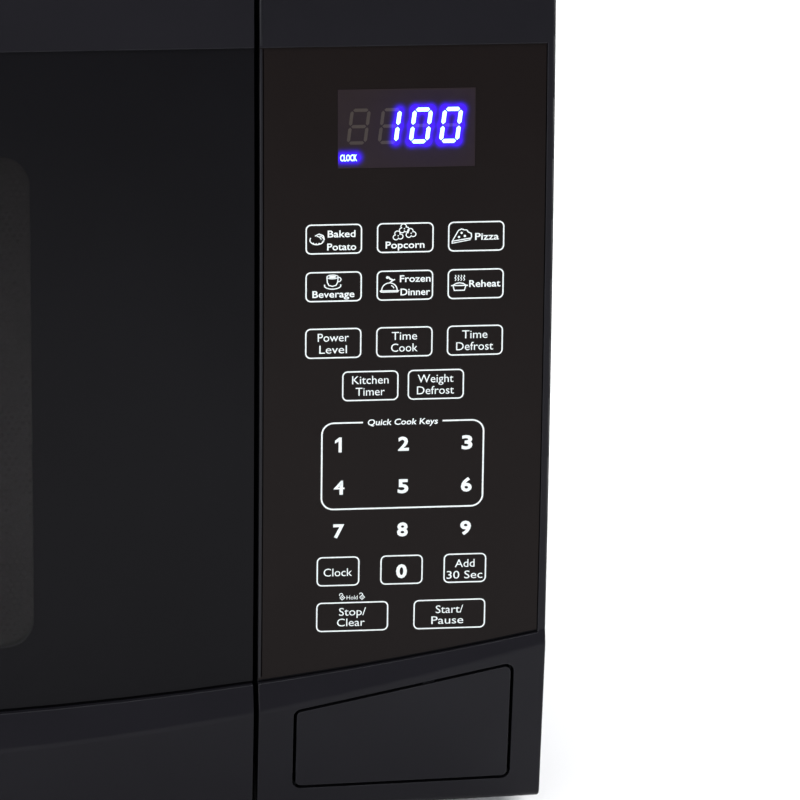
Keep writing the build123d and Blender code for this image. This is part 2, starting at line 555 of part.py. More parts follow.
FLOOR_Z = CAVITY_Z[0] - PAN_DROP
with BuildPart() as cavity:
    x, y, z = CAVITY_X, CAVITY_Y, CAVITY_Z
    block((x[0] - SHEET, x[1] + SHEET), (y[0], y[1] + SHEET), (z[0] - SHEET, z[1] + SHEET))
    rod((TABLE_X, TABLE_Y, FLOOR_Z - SHEET), (0, 0, 1), PAN_R + SHEET, PAN_DROP)
    block((x[0] - 6, x[1] + 6), (y[0], y[0] + SHEET), (z[0] - 6, z[1] + 6))
    with BuildPart(mode=Mode.SUBTRACT) as inside:
        block(x, (y[0] - 1, y[1]), z)
        fillet(inside.edges().filter_by(Axis.Y), 5)
        fillet(inside.faces().sort_by(Axis.Y)[-1].edges(), 5)
    rod((TABLE_X, TABLE_Y, FLOOR_Z), (0, 0, 1), PAN_R, PAN_DROP + 1, mode=Mode.SUBTRACT)
    rod((TABLE_X, TABLE_Y, FLOOR_Z - 2), (0, 0, 1), SHAFT_R + 2, 5, mode=Mode.SUBTRACT)
    block((x[1] - 1, x[1] + 2), (5, 85), (175, 225), mode=Mode.SUBTRACT)
    with Locations(Plane(origin=(x[1] - 1, -80, 232), x_dir=(0, 1, 0), z_dir=(1, 0, 0))):
        with GridLocations(6, 6, 7, 4):
            Cylinder(1.6, 6, mode=Mode.SUBTRACT)
    with Locations(Plane(origin=(x[0] - 1, 120, 220), x_dir=(0, 1, 0), z_dir=(1, 0, 0))):
        with GridLocations(6, 6, 10, 5):
            Cylinder(1.6, 6, mode=Mode.SUBTRACT)
write(cavity, "cavity")

with BuildPart() as waveguide_cover:
    with BuildSketch(Plane.YZ.offset(CAVITY_X[1] - 0.5)):
        with Locations((45, 200)):
            RectangleRounded(96, 66, 4)
    extrude(amount=0.5)
write(waveguide_cover, "waveguide_cover")

with BuildPart() as base_plate:
    block((-237, 237), (PLATE_Y + SHEET, REAR_Y - SHEET), (BASE_Z, BASE_Z + SHEET))
    for x in (-237, 237 - SHEET):
        block((x, x + SHEET), (PLATE_Y + 12, REAR_Y - SHEET - 2), (BASE_Z, BASE_Z + 12))
    with Locations((182, -90, BASE_Z)):
        with GridLocations(12, 22, 7, 3):
            Box(5, 16, 4, mode=Mode.SUBTRACT)
    with Locations((TABLE_X, TABLE_Y, BASE_Z)):
        with PolarLocations(20, 6):
            Cylinder(3, 4, mode=Mode.SUBTRACT)
write(base_plate, "base_plate")

COVER_ENDS = (PLATE_Y + SHEET + 0.4, REAR_Y)
COVER_EDGE = COVER_SIDE - SHEET
with BuildPart() as outer_cover:
    block((-COVER_SIDE, COVER_SIDE), COVER_ENDS, (BASE_Z + 3, COVER_TOP))
    fillet(outer_cover.edges().filter_by(Axis.Y).group_by(Axis.Z)[-1], 6)
    with BuildPart(mode=Mode.SUBTRACT) as cover_inside:
        block((-COVER_EDGE, COVER_EDGE), (COVER_ENDS[0] - 1, COVER_ENDS[1] + 1), (0, COVER_TOP - SHEET))
        fillet(cover_inside.edges().filter_by(Axis.Y).group_by(Axis.Z)[-1], 6 - SHEET)
    vents((-COVER_SIDE, 110, 215), (1, 0, 0), (18, 3), (7, 26), (14, 2))
    vents((COVER_SIDE, 20, 60), (1, 0, 0), (18, 3), (7, 26), (14, 2))
write(outer_cover, "outer_cover")

REAR_IN = REAR_Y - SHEET
REAR_SCREWS = [(-226, 24), (-226, 262), (-80, 270), (80, 270), (226, 262), (226, 24), (60, 20)]
with BuildPart() as rear_panel:
    plate((-COVER_EDGE + 0.05, COVER_EDGE - 0.05), (REAR_IN, REAR_Y),
          (BASE_Z + SHEET, COVER_TOP - SHEET - 0.05), 5.5)
    vents((FAN_X, REAR_Y, FAN_Z), (0, 1, 0), (20, 3.2), (7, 26), (12, 3))
    vents((-150, REAR_Y, 240), (0, 1, 0), (16, 3.2), (7, 22), (16, 2))
    rod((GLAND_X, REAR_IN - 1, GLAND_Z), (0, 1, 0), 8.0, 4, mode=Mode.SUBTRACT)
write(rear_panel, "rear_panel")

with BuildPart() as cover_screws:
    for x, z in REAR_SCREWS:
        with BuildSketch(Plane(origin=(x, REAR_Y, z), x_dir=(1, 0, 0), z_dir=(0, 1, 0))) as head:
            Circle(3.8)
        extrude(head.sketch, amount=2.2)
    fillet(cover_screws.edges().filter_by(GeomType.CIRCLE).group_by(Axis.Y)[-1], 1.2)
    for x, z in REAR_SCREWS:
        with Locations((x, REAR_Y + 2.2, z)):
            Box(5.2, 1.6, 1.0, mode=Mode.SUBTRACT)
            Box(1.0, 1.6, 5.2, mode=Mode.SUBTRACT)
write(cover_screws, "cover_screws")

with BuildPart() as cord_gland:
    rod((GLAND_X, REAR_IN - 9.0, GLAND_Z), (0, 1, 0), 7.9, 9.0 + SHEET)
    rod((GLAND_X, REAR_Y, GLAND_Z), (0, 1, 0), 11.0, BACK - REAR_Y)
    fillet(cord_gland.edges().filter_by(GeomType.CIRCLE).sort_by(Axis.Y)[-1], 2.0)
    rod((GLAND_X, REAR_IN - 10, GLAND_Z), (0, 1, 0), GLAND_BORE, 30, mode=Mode.SUBTRACT)
write(cord_gland, "cord_gland")

with BuildPart() as feet:
    for x in (-FOOT_X, FOOT_X):
        for y in FOOT_Y:
            with Locations((x, y, 0)):
                Cone(11.0, 13.0, FOOT_HEIGHT, align=(Align.CENTER, Align.CENTER, Align.MIN))
    fillet(feet.edges().filter_by(GeomType.CIRCLE).group_by(Axis.Z)[0], 1.5)
write(feet, "feet")

# ---------------------------------------------------------------- turntable
MOTOR_TOP = FLOOR_Z - SHEET
with BuildPart() as turntable_motor:
    rod((TABLE_X, TABLE_Y, MOTOR_TOP - 14.5), (0, 0, 1), 25, 14.5)
    fillet(turntable_motor.edges().filter_by(GeomType.CIRCLE), 1.5)
    block((TABLE_X - 33, TABLE_X + 33), (TABLE_Y - 5, TABLE_Y + 5), (MOTOR_TOP - 1.2, MOTOR_TOP))
    block((TABLE_X - 9, TABLE_X + 9), (TABLE_Y - 38, TABLE_Y - 20), (MOTOR_TOP - 12, MOTOR_TOP - 4))
    rod((TABLE_X, TABLE_Y, MOTOR_TOP - 11), (0, 0, 1), SHAFT_R + RUNNING, 20, mode=Mode.SUBTRACT)
write(turntable_motor, "turntable_motor")

COUPLER_Z = (FLOOR_Z + 1.0, TRAY_Z - 1.0)
with BuildPart() as turntable_shaft:
    rod((TABLE_X, TABLE_Y, MOTOR_TOP - 10.5), (0, 0, 1), SHAFT_R, COUPLER_Z[1] - 2 - MOTOR_TOP + 10.5)
write(turntable_shaft, "turntable_shaft")

with BuildPart() as turntable_coupler:
    rod((TABLE_X, TABLE_Y, COUPLER_Z[0]), (0, 0, 1), 11, COUPLER_Z[1] - COUPLER_Z[0])
    with Locations((TABLE_X, TABLE_Y, (COUPLER_Z[0] + COUPLER_Z[1]) / 2 + 2)):
        with PolarLocations(12, 3):
            Box(24, 7, COUPLER_Z[1] - COUPLER_Z[0] - 4)
    chamfer(turntable_coupler.edges().filter_by(Axis.Z).filter_by(lambda e: e.length < 9), 0.8)
    rod((TABLE_X, TABLE_Y, COUPLER_Z[0] - 1), (0, 0, 1), SHAFT_R, COUPLER_Z[1] - COUPLER_Z[0] - 1,
        mode=Mode.SUBTRACT)
write(turntable_coupler, "turntable_coupler")

TRAY_WALL = 4.0
TRAY_RIM = 16.0
with BuildPart() as glass_tray:
    with BuildSketch(Plane(origin=(TABLE_X, TABLE_Y, TRAY_Z), x_dir=(1, 0, 0), z_dir=(0, -1, 0))):
        with BuildLine():
            floor_end = TRAY_R - 20
            Line((0, 0), (floor_end, 0))
            Spline((floor_end, 0), (TRAY_R - 5, 7), (TRAY_R, TRAY_RIM - 1), tangents=((1, 0), (0.25, 1)))
            ThreePointArc((TRAY_R, TRAY_RIM - 1), (TRAY_R - 1.7, TRAY_RIM), (TRAY_R - 3.6, TRAY_RIM - 0.8))
            Spline((TRAY_R - 3.6, TRAY_RIM - 0.8), (TRAY_R - 8.4, 9), (floor_end - 1.5, TRAY_WALL),
                   tangents=((-0.25, -1), (-1, 0)))
            Polyline((floor_end - 1.5, TRAY_WALL), (0, TRAY_WALL), (0, 0))
        make_face()
    revolve(axis=Axis((TABLE_X, TABLE_Y, 0), (0, 0, 1)))
    with Locations((TABLE_X, TABLE_Y, TRAY_Z - 1.9)):
        with PolarLocations(17.5, 3, start_angle=60):
            Box(6, 8, 4.2)
write(glass_tray, "glass_tray")

AXLE_Z = FLOOR_Z + 7.0
AXLE_R = 1.8
ROLLER_WIDTH = 6.0
ROLLERS = 3
with BuildPart() as roller_ring:
    with BuildSketch(Plane.XY.offset(AXLE_Z - 2.5)):
        with Locations((TABLE_X, TABLE_Y)):
            Circle(RING_R - 5)
            Circle(RING_R - 14, mode=Mode.SUBTRACT)
    extrude(amount=5)
    fillet(roller_ring.edges().filter_by(GeomType.CIRCLE), 0.8)
    for turn in range(ROLLERS):
        angle = radians(turn * 360 / ROLLERS + 30)
        out = (cos(angle), sin(angle), 0)
        start = (TABLE_X + (RING_R - 8) * out[0], TABLE_Y + (RING_R - 8) * out[1], AXLE_Z)
        cap = (TABLE_X + (RING_R + 3.5) * out[0], TABLE_Y + (RING_R + 3.5) * out[1], AXLE_Z)
        rod(start, out, AXLE_R, 12)
        rod(cap, out, AXLE_R + 0.8, 1.4)
write(roller_ring, "roller_ring")

for turn in range(ROLLERS):
    angle = radians(turn * 360 / ROLLERS + 30)
    out = (cos(angle), sin(angle), 0)
    inner = (TABLE_X + (RING_R - 3) * out[0], TABLE_Y + (RING_R - 3) * out[1], AXLE_Z)
    with BuildPart() as roller:
        rod(inner, out, ROLLER_R - 0.1, ROLLER_WIDTH)
        fillet(roller.edges(), 0.6)
        rod(inner, out, AXLE_R + RUNNING, ROLLER_WIDTH, mode=Mode.SUBTRACT)
    write(roller, f"roller_{turn + 1}")

# ---------------------------------------------------------------- magnetron and waveguide
with BuildPart() as waveguide:
    x0, x1, y0, y1, z0, z1 = WAVEGUIDE
    block((x0, x1), (y0, y1), (z0, z1))
    block((x0 - 1, x1 - GUIDE_WALL), (y0 + GUIDE_WALL, y1 - GUIDE_WALL), (z0 + GUIDE_WALL, z1 - GUIDE_WALL),
          mode=Mode.SUBTRACT)
    rod((x1 - 3, MAGNETRON_Y, MAGNETRON_Z), (1, 0, 0), 13, 6, mode=Mode.SUBTRACT)
write(waveguide, "waveguide")

YOKE_X = (WAVEGUIDE[1], 209.0)
YOKE_Y = (MAGNETRON_Y - 42, MAGNETRON_Y + 42)
YOKE_Z = (MAGNETRON_Z - 38, MAGNETRON_Z + 38)
with BuildPart() as magnetron_yoke:
    block(YOKE_X, YOKE_Y, YOKE_Z)
    block((YOKE_X[0] + 2, YOKE_X[1] - 2), (YOKE_Y[0] - 1, YOKE_Y[1] + 1), (YOKE_Z[0] + 2, YOKE_Z[1] - 2),
          mode=Mode.SUBTRACT)
    rod((YOKE_X[0] - 1, MAGNETRON_Y, MAGNETRON_Z), (1, 0, 0), 13, 70, mode=Mode.SUBTRACT)
write(magnetron_yoke, "magnetron_yoke")

with BuildPart() as magnetron_magnets:
    for x in (YOKE_X[0] + 2, YOKE_X[1] - 2 - 9):
        rod((x, MAGNETRON_Y, MAGNETRON_Z), (1, 0, 0), 27, 9)
    rod((YOKE_X[0], MAGNETRON_Y, MAGNETRON_Z), (1, 0, 0), 13, 70, mode=Mode.SUBTRACT)
write(magnetron_magnets, "magnetron_magnets")

FIN_X = (YOKE_X[0] + 13, YOKE_X[1] - 13)
with BuildPart() as magnetron_fins:
    rod((FIN_X[0] - 1.5, MAGNETRON_Y, MAGNETRON_Z), (1, 0, 0), 19, FIN_X[1] - FIN_X[0] + 3)
    for step in range(6):
        x = FIN_X[0] + step * (FIN_X[1] - FIN_X[0] - 0.6) / 5
        block((x, x + 0.6), (YOKE_Y[0] + 2, YOKE_Y[1] - 2), (YOKE_Z[0] + 2.5, YOKE_Z[1] - 2.5))
write(magnetron_fins, "magnetron_fins")

with BuildPart() as magnetron_antenna:
    rod((WAVEGUIDE[0] + 6, MAGNETRON_Y, MAGNETRON_Z), (1, 0, 0), 7, 14)
    rod((WAVEGUIDE[0] + 20, MAGNETRON_Y, MAGNETRON_Z), (1, 0, 0), 9.5, FIN_X[0] - 1.5 - WAVEGUIDE[0] - 20)
    fillet(magnetron_antenna.edges().filter_by(GeomType.CIRCLE).sort_by(Axis.X)[0], 3)
write(magnetron_antenna, "magnetron_antenna")

with BuildPart() as magnetron_filter:
    block((YOKE_X[1], YOKE_X[1] + 27), (MAGNETRON_Y - 24, MAGNETRON_Y + 24),
          (MAGNETRON_Z - 27, MAGNETRON_Z + 27))
    fillet(magnetron_filter.edges().filter_by(Axis.X), 3)
    block((YOKE_X[1] + 6, YOKE_X[1] + 21), (MAGNETRON_Y - 34, MAGNETRON_Y - 24),
          (MAGNETRON_Z - 16, MAGNETRON_Z + 16))
write(magnetron_filter, "magnetron_filter")

with BuildPart() as air_guide:
    guide_y = (YOKE_Y[0] - 50, YOKE_Y[0] - 1)
    with BuildSketch(Plane(origin=(0, guide_y[1], 0), x_dir=(1, 0, 0), z_dir=(0, -1, 0))):
        with Locations(((YOKE_X[0] + YOKE_X[1]) / 2, MAGNETRON_Z)):
            Rectangle(YOKE_X[1] - YOKE_X[0], YOKE_Z[1] - YOKE_Z[0])
    with BuildSketch(Plane(origin=(0, guide_y[0], 0), x_dir=(1, 0, 0), z_dir=(0, -1, 0))):
        with Locations((YOKE_X[0] + 14, MAGNETRON_Z + 16)):
            Rectangle(28, 44)
    loft(ruled=True)
    ends = air_guide.faces().sort_by(Axis.Y)
    offset(amount=-1.2, openings=[ends[0], ends[-1]])
write(air_guide, "air_guide")

with BuildPart() as thermal_cutouts:
    rod((180, MAGNETRON_Y, YOKE_Z[1]), (0, 0, 1), 8, 5)
    rod((60, 60, CAVITY_Z[1] + SHEET), (0, 0, 1), 8, 5)
    for x, y, z in ((180, MAGNETRON_Y, YOKE_Z[1]), (60, 60, CAVITY_Z[1] + SHEET)):
        block((x - 12, x + 12), (y - 3.5, y + 3.5), (z, z + 0.8))
        for side in (-4, 4):
            block((x + side - 0.4, x + side + 0.4), (y - 3, y + 3), (z + 5, z + 12))
write(thermal_cutouts, "thermal_cutouts")

# ---------------------------------------------------------------- high-voltage supply
FLOOR_TOP = BASE_Z + SHEET
CORE = (134.0, 222.0, 0.0, 52.0, FLOOR_TOP, FLOOR_TOP + 68.0)
with BuildPart() as transformer_core:
    x0, x1, y0, y1, z0, z1 = CORE
    block((x0, x1), (y0, y1), (z0, z1))
    for z in (z0 + 12, z1 - 28):
        block((x0 + 14, x1 - 14), (y0 - 1, y1 + 1), (z, z + 16), mode=Mode.SUBTRACT)
    fillet(transformer_core.edges().filter_by(Axis.Y).group_by(Axis.Z)[-1], 1.5)
write(transformer_core, "transformer_core")

with BuildPart() as transformer_coils:
    for z in (CORE[4] + 12, CORE[5] - 28):
        block((CORE[0] + 14.5, CORE[1] - 14.5), (CORE[2] - 15, CORE[3] + 15), (z + 0.5, z + 15.5))
        fillet(transformer_coils.edges().filter_by(Axis.Z).group_by(Axis.Z)[-1], 8)
write(transformer_coils, "transformer_coils")

CAN = (134.0, 226.0, 128.0, FLOOR_TOP + 20.0)          # left and right ends, then the middle in Y and Z
CAN_SIZE = (52.0, 34.0)
with BuildPart() as hv_capacitor:
    with BuildSketch(Plane.YZ.offset(CAN[0])):
        with Locations((CAN[2], CAN[3])):
            SlotOverall(*CAN_SIZE)
    extrude(amount=CAN[1] - CAN[0])
    fillet(hv_capacitor.edges().group_by(Axis.X)[-1], 1.5)
    for y in (CAN[2] - 12, CAN[2] + 12):
        rod((CAN[0], y, CAN[3]), (-1, 0, 0), 5, 3)
        block((CAN[0] - 9, CAN[0] - 2), (y - 3.2, y + 3.2), (CAN[3] - 0.4, CAN[3] + 0.4))
write(hv_capacitor, "hv_capacitor")

with BuildPart() as capacitor_clamp:
    with BuildSketch(Plane.YZ.offset(CAN[1] - 34)):
        with Locations((CAN[2], CAN[3])):
            SlotOverall(CAN_SIZE[0] + 2.4, CAN_SIZE[1] + 2.4)
        with Locations((CAN[2], FLOOR_TOP + 3)):
            Rectangle(CAN_SIZE[0] + 26, 1.2)
        with Locations((CAN[2], FLOOR_TOP + 3)):
            Rectangle(CAN_SIZE[0] - 20, 6)
        for side in (-1, 1):
            with Locations((CAN[2] + side * (CAN_SIZE[0] / 2 + 10), FLOOR_TOP + 1.8)):
                Rectangle(10, 3.6)
        with Locations((CAN[2], CAN[3])):
            SlotOverall(*CAN_SIZE, mode=Mode.SUBTRACT)
    extrude(amount=12)
write(capacitor_clamp, "capacitor_clamp")

with BuildPart() as hv_diode:
    rod((130, 88, FLOOR_TOP + 22), (0, 1, 0), 3.5, 18)
    rod((130, 80, FLOOR_TOP + 22), (0, 1, 0), 0.8, 9)
    rod((130, 105, FLOOR_TOP + 22), (0, 1, 0), 0.8, 9)
    block((129.5, 130.5), (80.5, 81.5), (FLOOR_TOP, FLOOR_TOP + 22))
write(hv_diode, "hv_diode")

# ---------------------------------------------------------------- fan, lamp and mains filter
SHAFT_FAN_R = 2.0
MOTOR_Y = (FAN_Y + 16.0, FAN_Y + 32.0)
with BuildPart() as fan_motor:
    block((FAN_X - 24, FAN_X + 24), MOTOR_Y, (FAN_Z - 18, FAN_Z + 18))
    fillet(fan_motor.edges().filter_by(Axis.Y), 3)
    block((FAN_X - 17, FAN_X + 17), (MOTOR_Y[0] - 4, MOTOR_Y[1] + 3), (FAN_Z - 34, FAN_Z - 18))
    rod((FAN_X, MOTOR_Y[0] - 3, FAN_Z), (0, 1, 0), 9, 3)
    for side in (-20, 20):
        rod((FAN_X + side, MOTOR_Y[1], FAN_Z + 10), (0, 1, 0), 3, REAR_IN - MOTOR_Y[1])
    rod((FAN_X, MOTOR_Y[0] - 4, FAN_Z), (0, 1, 0), SHAFT_FAN_R + RUNNING, 16, mode=Mode.SUBTRACT)
write(fan_motor, "fan_motor")

with BuildPart() as fan_shaft:
    rod((FAN_X, FAN_Y - 8, FAN_Z), (0, 1, 0), SHAFT_FAN_R, 36)
write(fan_shaft, "fan_shaft")

BLADES = 7
with BuildPart() as fan_blade:
    rod((FAN_X, FAN_Y - 9, FAN_Z), (0, 1, 0), 13, 15)
    fillet(fan_blade.edges().filter_by(GeomType.CIRCLE).sort_by(Axis.Y)[0], 3)
    with Locations(Plane(origin=(FAN_X, FAN_Y - 2, FAN_Z), z_dir=(0, 1, 0))):
        with PolarLocations(FAN_R / 2 + 4, BLADES):
            Box(FAN_R - 8, 26, 1.4, rotation=(32, 0, 0))
    rod((FAN_X, FAN_Y - 20, FAN_Z), (0, 1, 0), FAN_R, 40, mode=Mode.INTERSECT)
    rod((FAN_X, FAN_Y - 8, FAN_Z), (0, 1, 0), SHAFT_FAN_R, 20, mode=Mode.SUBTRACT)
write(fan_blade, "fan_blade")

with BuildPart() as fan_shroud:
    block((FAN_X - 55.5, COVER_EDGE - 1), (FAN_Y + 8, FAN_Y + 10), (FAN_Z - 57, FAN_Z + 57))
    rod((FAN_X, FAN_Y - 12, FAN_Z), (0, 1, 0), FAN_R + 3.5, 22)
    rod((FAN_X, FAN_Y - 13, FAN_Z), (0, 1, 0), FAN_R + 1.8, 30, mode=Mode.SUBTRACT)
write(fan_shroud, "fan_shroud")

LAMP = (142.0, -70.0, 236.0)
with BuildPart() as oven_lamp:
    with Locations(LAMP):
        Sphere(11)
    rod(LAMP, (0, 1, 0), 7, 24)
write(oven_lamp, "oven_lamp")

with BuildPart() as lamp_socket:
    rod((LAMP[0], LAMP[1] + 16, LAMP[2]), (0, 1, 0), 9.5, 20)
    rod((LAMP[0], LAMP[1] + 15, LAMP[2]), (0, 1, 0), 7, 9, mode=Mode.SUBTRACT)
    block((BAY_LEFT, BAY_LEFT + 1), (LAMP[1] + 16, LAMP[1] + 36), (LAMP[2] - 12, LAMP[2] + 12))
    block((BAY_LEFT, LAMP[0] - 8), (LAMP[1] + 26, LAMP[1] + 28), (LAMP[2] - 8, LAMP[2] + 8))
write(lamp_socket, "lamp_socket")

FILTER_Z = 256.0
with BuildPart() as filter_board:
    block((134, 226), (118, 184), (FILTER_Z, FILTER_Z + 1.6))
    block((206, 222), (124, 150), (FILTER_Z + 1.6, FILTER_Z + 17))
    rod((184, 140, FILTER_Z + 1.6), (0, 0, 1), 12, 12)
    rod((184, 140, FILTER_Z + 3), (0, 0, 1), 6, 14, mode=Mode.SUBTRACT)
    block((BAY_LEFT, 134), (122, 180), (FILTER_Z, FILTER_Z + 1.6))
    block((BAY_LEFT, BAY_LEFT + 2.5), (122, 180), (CAVITY_Z[1] - 12, FILTER_Z + 1.6))
    rod((144, 128, FILTER_Z + 1.6 + 4), (0, 1, 0), 3.2, 32)
    for y in (128, 154):
        block((140.5, 147.5), (y, y + 6), (FILTER_Z + 1.6, FILTER_Z + 5))
write(filter_board, "filter_board")
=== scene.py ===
"""Looks of a countertop microwave oven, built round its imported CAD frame.

Metres, +Z up, the oven's front towards -Y. A length written as N * MM is in millimetres.
"""
import json
from math import cos, exp, pi, radians, sin

import bmesh
import bpy
from mathutils import Matrix, Vector
from mathutils.bvhtree import BVHTree


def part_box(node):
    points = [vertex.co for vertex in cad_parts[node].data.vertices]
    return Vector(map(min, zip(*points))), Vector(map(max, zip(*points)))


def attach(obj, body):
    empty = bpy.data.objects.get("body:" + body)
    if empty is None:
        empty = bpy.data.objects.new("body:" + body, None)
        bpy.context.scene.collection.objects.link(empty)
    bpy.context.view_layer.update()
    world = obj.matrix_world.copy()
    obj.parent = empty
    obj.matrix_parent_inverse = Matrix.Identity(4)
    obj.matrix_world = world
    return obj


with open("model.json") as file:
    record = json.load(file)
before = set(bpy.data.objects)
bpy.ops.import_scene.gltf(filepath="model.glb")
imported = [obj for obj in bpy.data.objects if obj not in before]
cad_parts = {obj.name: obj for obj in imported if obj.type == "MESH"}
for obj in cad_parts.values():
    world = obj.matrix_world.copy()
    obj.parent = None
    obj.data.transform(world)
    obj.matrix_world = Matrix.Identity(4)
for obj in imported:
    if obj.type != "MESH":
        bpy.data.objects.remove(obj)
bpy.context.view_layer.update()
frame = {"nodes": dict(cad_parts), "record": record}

MM = 0.001
WAVE_SCALE = 0.314       # scale at which the wave texture's bands repeat once a metre


# ---------------------------------------------------------------- shader helpers
class Shader:
    """A new Principled material and short names for the nodes that the finishes use."""

    def __init__(self, name, base, rough, metal=0.0, specular=0.5):
        self.material = bpy.data.materials.new(name)
        self.material.use_nodes = True
        self.tree = self.material.node_tree
        self.bsdf = self.tree.nodes["Principled BSDF"]
        self.base = base
        self.place = self.node("ShaderNodeTexCoord").outputs["Object"]
        self.set(self.bsdf, "Base Color", (*base, 1.0))
        self.set(self.bsdf, "Roughness", rough)
        self.set(self.bsdf, "Metallic", metal)
        self.set(self.bsdf, "Specular IOR Level", specular)

    def node(self, kind, **values):
        """A new node with the given settings."""
        made = self.tree.nodes.new(kind)
        for name, value in values.items():
            setattr(made, name, value)
        return made

    def set(self, node, socket, value):
        """Gives a socket a number or colour, or links it if the value is another node's output."""
        if isinstance(value, bpy.types.NodeSocket):
            self.tree.links.new(value, node.inputs[socket])
        else:
            node.inputs[socket].default_value = value

    def stretched(self, scale):
        """Object coordinates multiplied by a factor for each axis."""
        mapping = self.node("ShaderNodeMapping")
        self.set(mapping, "Vector", self.place)
        self.set(mapping, "Scale", scale)
        return mapping.outputs["Vector"]

    def noise(self, size, detail=2.0, stretch=(1, 1, 1), rough=0.5):
        """Soft noise whose blotches are about size metres across, from 0 to 1."""
        noise = self.node("ShaderNodeTexNoise")
        self.set(noise, "Vector", self.stretched(stretch))
        self.set(noise, "Scale", 1 / size)
        self.set(noise, "Detail", detail)
        self.set(noise, "Roughness", rough)
        return noise.outputs["Fac"]

    def cells(self, size):
        """A Voronoi texture whose cells are about size metres across."""
        cells = self.node("ShaderNodeTexVoronoi")
        self.set(cells, "Vector", self.place)
        self.set(cells, "Scale", 1 / size)
        return cells

    def waves(self, size, axis, distort):
        """Bands that repeat every size metres along an axis, from 0 to 1."""
        waves = self.node("ShaderNodeTexWave", wave_type="BANDS", bands_direction=axis)
        self.set(waves, "Vector", self.place)
        self.set(waves, "Scale", WAVE_SCALE / size)
        self.set(waves, "Distortion", distort)
        return waves.outputs["Fac"]

    def span(self, value, low, high, to_low=0.0, to_high=1.0):
        """Maps low..high to to_low..to_high and holds it there."""
        mapped = self.node("ShaderNodeMapRange")
        self.set(mapped, "Value", value)
        self.set(mapped, "From Min", low)
        self.set(mapped, "From Max", high)
        self.set(mapped, "To Min", to_low)
        self.set(mapped, "To Max", to_high)
        return mapped.outputs["Result"]

    def math(self, operation, a, b=0.0):
        """The result of a math node on numbers or outputs."""
        made = self.node("ShaderNodeMath", operation=operation)
        self.set(made, 0, a)
        self.set(made, 1, b)
        return made.outputs[0]

    def mix(self, factor, first, second):
        """A mix of two colours, each a triple or another node's output."""
        mixed = self.node("ShaderNodeMix", data_type="RGBA")
        self.set(mixed, "Factor", factor)
        for index, value in ((6, first), (7, second)):
            linked = isinstance(value, bpy.types.NodeSocket)
            self.set(mixed, index, value if linked else (*value, 1.0))
        return mixed.outputs[2]

    def edges(self, radius):
        """The normal rounded over edges, and a mask that is 1 where an edge is that near."""
        bevel = self.node("ShaderNodeBevel", samples=4)
        self.set(bevel, "Radius", radius)
        geometry = self.node("ShaderNodeNewGeometry")
        dot = self.node("ShaderNodeVectorMath", operation="DOT_PRODUCT")
        self.set(dot, 0, bevel.outputs["Normal"])
        self.set(dot, 1, geometry.outputs["Normal"])
        return bevel.outputs["Normal"], self.span(dot.outputs["Value"], 0.995, 0.9)

    def flank(self):
        """1 on faces that look to the left or right, 0 on the rest."""
        geometry = self.node("ShaderNodeNewGeometry")
        split = self.node("ShaderNodeSeparateXYZ")
        self.set(split, "Vector", geometry.outputs["Normal"])
        return self.span(self.math("ABSOLUTE", split.outputs["X"]), 0.9, 0.99)

    def parts(self):
        """Object coordinates as separate outputs X, Y and Z."""
        split = self.node("ShaderNodeSeparateXYZ")
        self.set(split, "Vector", self.place)
        return split.outputs

    def shade_flanks(self, colour):
        """Leaves the side faces flat and unpolished, in a dark colour that is painted shade for the gaps
        between parts.
        """
        dull = self.node("ShaderNodeBsdfDiffuse")
        self.set(dull, "Color", (*colour, 1.0))
        self.join(self.flank(), self.bsdf.outputs[0], dull.outputs[0])

    def join(self, factor, first, second):
        """Sends a mix of two shaders to the surface."""
        joined = self.node("ShaderNodeMixShader")
        for index, value in enumerate((factor, first, second)):
            self.set(joined, index, value)
        self.tree.links.new(joined.outputs[0], self.tree.nodes["Material Output"].inputs["Surface"])
        return joined.outputs[0]

    def bump(self, height, distance, normal=None):
        """A normal bent by a height, on top of another normal if one is given."""
        bump = self.node("ShaderNodeBump")
        self.set(bump, "Height", height)
        self.set(bump, "Distance", distance)
        self.set(bump, "Strength", 1.0)
        if normal:
            self.set(bump, "Normal", normal)
        return bump.outputs["Normal"]

    def colour(self, value):
        self.set(self.bsdf, "Base Color", value)

    def roughness(self, value):
        self.set(self.bsdf, "Roughness", value)

    def normal(self, value):
        self.set(self.bsdf, "Normal", value)

    def shades(self, amount, size, detail=3.0):
        """Base colour that drifts lighter and darker by the given share."""
        dark = [c * (1 - amount) for c in self.base]
        light = [c * (1 + amount) for c in self.base]
        return self.mix(self.noise(size, detail), dark, light)


# ---------------------------------------------------------------- finishes
# painted shade: dark matt colours for side faces, standing in for the shade inside the gaps between parts
MOULDED_FLANK_SHADE = (0.006, 0.006, 0.0075)
GLASS_FLANK_SHADE = (0.002, 0.002, 0.0025)
# paler bluish edge colour: part wear, part painted highlight
WORN_EDGE_AND_HIGHLIGHT = (0.03, 0.031, 0.036)


def moulded_gloss(name, base, rough=0.18, specular=0.1):
    """Polished black moulding: faint flow ripple, handling marks in the gloss, paler bluish edges that are
    part wear and part painted highlight.
    """
    s = Shader(name, base, rough, specular=specular)
    rounded, edge_mask = s.edges(0.5 * MM)
    # paler edges: part wear, part painted highlight
    wear = s.math("MULTIPLY", edge_mask, s.span(s.noise(9 * MM, 4), 0.35, 0.65, 0.25, 0.8))
    s.colour(s.mix(wear, s.shades(0.15, 40 * MM), WORN_EDGE_AND_HIGHLIGHT))
    smudge = s.span(s.noise(30 * MM, 5, rough=0.65), 0.45, 0.75, 0.0, 0.07)
    s.roughness(s.math("ADD", smudge, s.span(s.noise(1.2 * MM), 0.3, 0.7, rough - 0.02, rough + 0.02)))
    flow = s.bump(s.noise(14 * MM, 1), 0.02 * MM, rounded)
    s.normal(s.bump(s.noise(0.35 * MM, 2), 0.0012 * MM, flow))
    # painted shade on the side faces
    s.shade_flanks(MOULDED_FLANK_SHADE)
    return s.material


